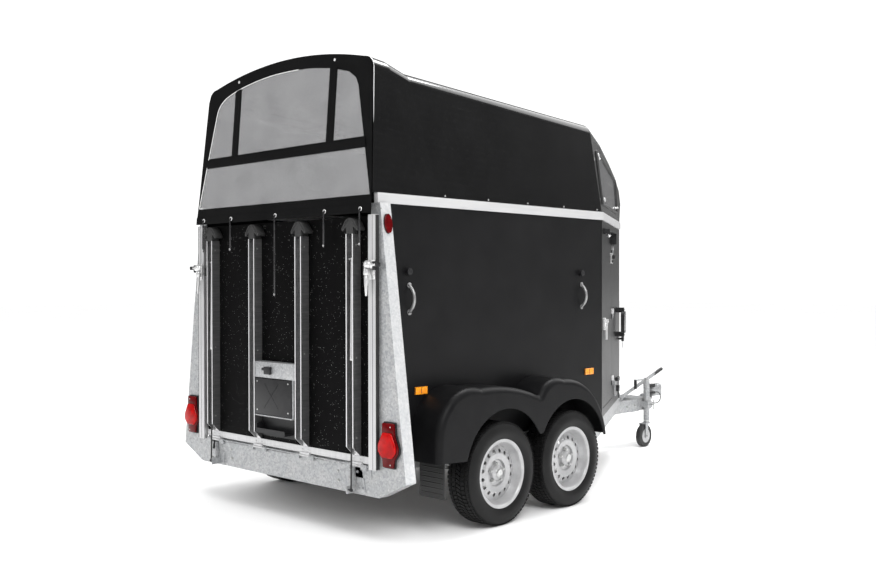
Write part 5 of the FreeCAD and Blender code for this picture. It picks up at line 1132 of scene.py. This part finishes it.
mesh = bmesh.new()
addBlock(mesh, (-0.042, 1.58, 0.4548), (0.042, 1.74, 0.4592), 0.0014)
addPlate(mesh, [(-0.037, -0.045), (0.037, -0.045), (0.03, 0.05), (-0.03, 0.05)], 0.01, moved(0, 2.16, 0.4875),
         corner=0.008, edge=0.003)
addTurned(mesh, [(0.04, 0.0), (0.0395, 0.01), (0.0345, 0.021), (0.024, 0.029), (0.011, 0.032), (0.0004, 0.0325)],
          moved(0, ballY, 0.4985), 36)
makePiece("coupling_cover", mesh, "galvanisedSteel")

forkLooks = {
    "axle": (1.7875, 0.1), "half": 0.034, "disc": 0.021,
    "discOutline": [(0.01, 0.0055), (0.0165, 0.0055), (0.02, 0.0038), (0.056, 0.0036), (0.0605, 0.0044),
                    (0.0625, 0.0036), (0.063, 0.0)],
}
axleY, axleZ = forkLooks["axle"]
axleNuts = bmesh.new()
discs = bmesh.new()
for side in bothWays:
    addNuts(axleNuts, [(jockeyX + side * forkLooks["half"], axleY, axleZ)], (side, 0, 0), 0.009, 0.008)
    discAt = aimed((jockeyX + side * forkLooks["disc"], axleY, axleZ), (side, 0, 0))
    addTurned(discs, forkLooks["discOutline"], discAt, 36)
makePiece("jockey_axle_nuts", axleNuts, "zincFastener", body="jockey_fork")
makePiece("jockey_disc", discs, "silverRim", body="jockey_wheel")
print("drawbar details made")


# The lead with its plug, and the breakaway wire under the drawbar

cordLooks = {
    "lead": [(0.118, 1.9858, 0.472), (0.118, 2.0385, 0.474), (0.118, 2.0825, 0.456), (0.118, 2.1005, 0.414),
             (0.117, 2.0745, 0.378), (0.108, 2.0305, 0.366), (0.086, 1.9945, 0.374), (0.08, 1.9635, 0.378)],
    "wire": [(0.075, 1.6125, 0.3238), (0.075, 1.6245, 0.303), (0.075, 1.6625, 0.289), (0.075, 1.7175, 0.286),
             (0.075, 1.7625, 0.301), (0.075, 1.7845, 0.3238)],
    "plug": [(0.0004, 0.0), (0.024, 0.0), (0.026, 0.002), (0.026, 0.014), (0.0246, 0.016), (0.0246, 0.02),
             (0.026, 0.022), (0.026, 0.057), (0.0235, 0.0615), (0.017, 0.064), (0.017, 0.092), (0.0155, 0.094),
             (0.0155, 0.099), (0.014, 0.106), (0.0046, 0.1068)],
    "plugRibs": 12,
}


def layCord(name, route, diameter, finish, stands):
    cord = makeCord(name, route, diameter / 2)
    cord.data.materials.append(finishes[finish])
    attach(cord, "trailer")
    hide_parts(stands)
    return cord


mesh = bmesh.new()
plugAt = moved(0.118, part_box("tow_plug")[0].y, 0.472) @ facingFront
addTurned(mesh, cordLooks["plug"], plugAt, 32)
for index in range(cordLooks["plugRibs"]):
    turn = Matrix.Rotation(2 * math.pi * index / cordLooks["plugRibs"], 4, "Z")
    addBlock(mesh, (-0.002, 0.0248, 0.026), (0.002, 0.0262, 0.052), 0.0008, plugAt @ turn)
plugShell = makePiece("plug_shell", mesh, "blackPlastic", stands="tow_plug")
lead = layCord("tow_lead", cordLooks["lead"], 0.009, "blackRubber", "tow_cable")
wire = layCord("safety_wire", cordLooks["wire"], 0.003, "zincFastener", "breakaway_wire")
print("cords laid")


# The floor, the lights and the camera

mesh = bmesh.new()
bmesh.ops.create_grid(mesh, x_segments=2, y_segments=2, size=60)
floorData = bpy.data.meshes.new("studio_floor")
mesh.to_mesh(floorData)
mesh.free()
studioFloor = bpy.data.objects.new("studio_floor", floorData)
bpy.context.collection.objects.link(studioFloor)
floorData.materials.append(makeFinish("studioWhite", grey(0.93), grey(0.95), (0.7, 0.8), 0.4, (3, 0.02, 0.001)))

lampRows = [
    ("keyLamp", (7.0, -5.0, 7.5), 4.5, 4.5, 560),
    ("rearLamp", (-3.5, -8.5, 4.5), 4.0, 4.0, 110),
    ("topLamp", (0.3, 0.6, 7.0), 1.6, 4.5, 420),
    ("glossPanel", (1.5, 10.0, 9.8), 9.6, 11.4, 1150),
]
lampAim = Vector((0, 0, 1.1))
for name, place, across, along, power in lampRows:
    light = bpy.data.lights.new(name, "AREA")
    light.shape = "RECTANGLE"
    light.size = across
    light.size_y = along
    light.energy = power
    lamp = bpy.data.objects.new(name, light)
    lamp.location = place
    lamp.rotation_euler = (lampAim - Vector(place)).to_track_quat("-Z", "Y").to_euler()
    lamp.visible_diffuse = name != "glossPanel"    # the panel is only seen in gloss, along the hood's shoulders
    bpy.context.collection.objects.link(lamp)
world = bpy.data.worlds.new("studio")
world.use_nodes = True
tree = world.node_tree
plain = tree.nodes["Background"]
plain.inputs["Color"].default_value = (1, 1, 1, 1)
plain.inputs["Strength"].default_value = 1.18
soft = addNode(tree, "Background", Color=(1, 1, 1, 1), Strength=0.28)
choice = addNode(tree, "MixShader")
join(addNode(tree, "LightPath"), "Is Glossy Ray", choice, "Fac")
join(plain, "Background", choice, 1)
join(soft, "Background", choice, 2)
join(choice, "Shader", tree.nodes["World Output"], "Surface")
bpy.context.scene.world = world
bpy.context.scene.view_settings.view_transform = "Standard"

view = {"place": (4.9545, -6.0044, 1.4854), "turn": (89.444, 0.098, 43.454), "lens": 40.864, "sensor": 36}
cameraData = bpy.data.cameras.new("camera")
cameraData.lens = view["lens"]
cameraData.sensor_width = view["sensor"]
camera = bpy.data.objects.new("camera", cameraData)
camera.location = view["place"]
camera.rotation_euler = [math.radians(angle) for angle in view["turn"]]
bpy.context.collection.objects.link(camera)
bpy.context.scene.camera = camera
print("studio made")
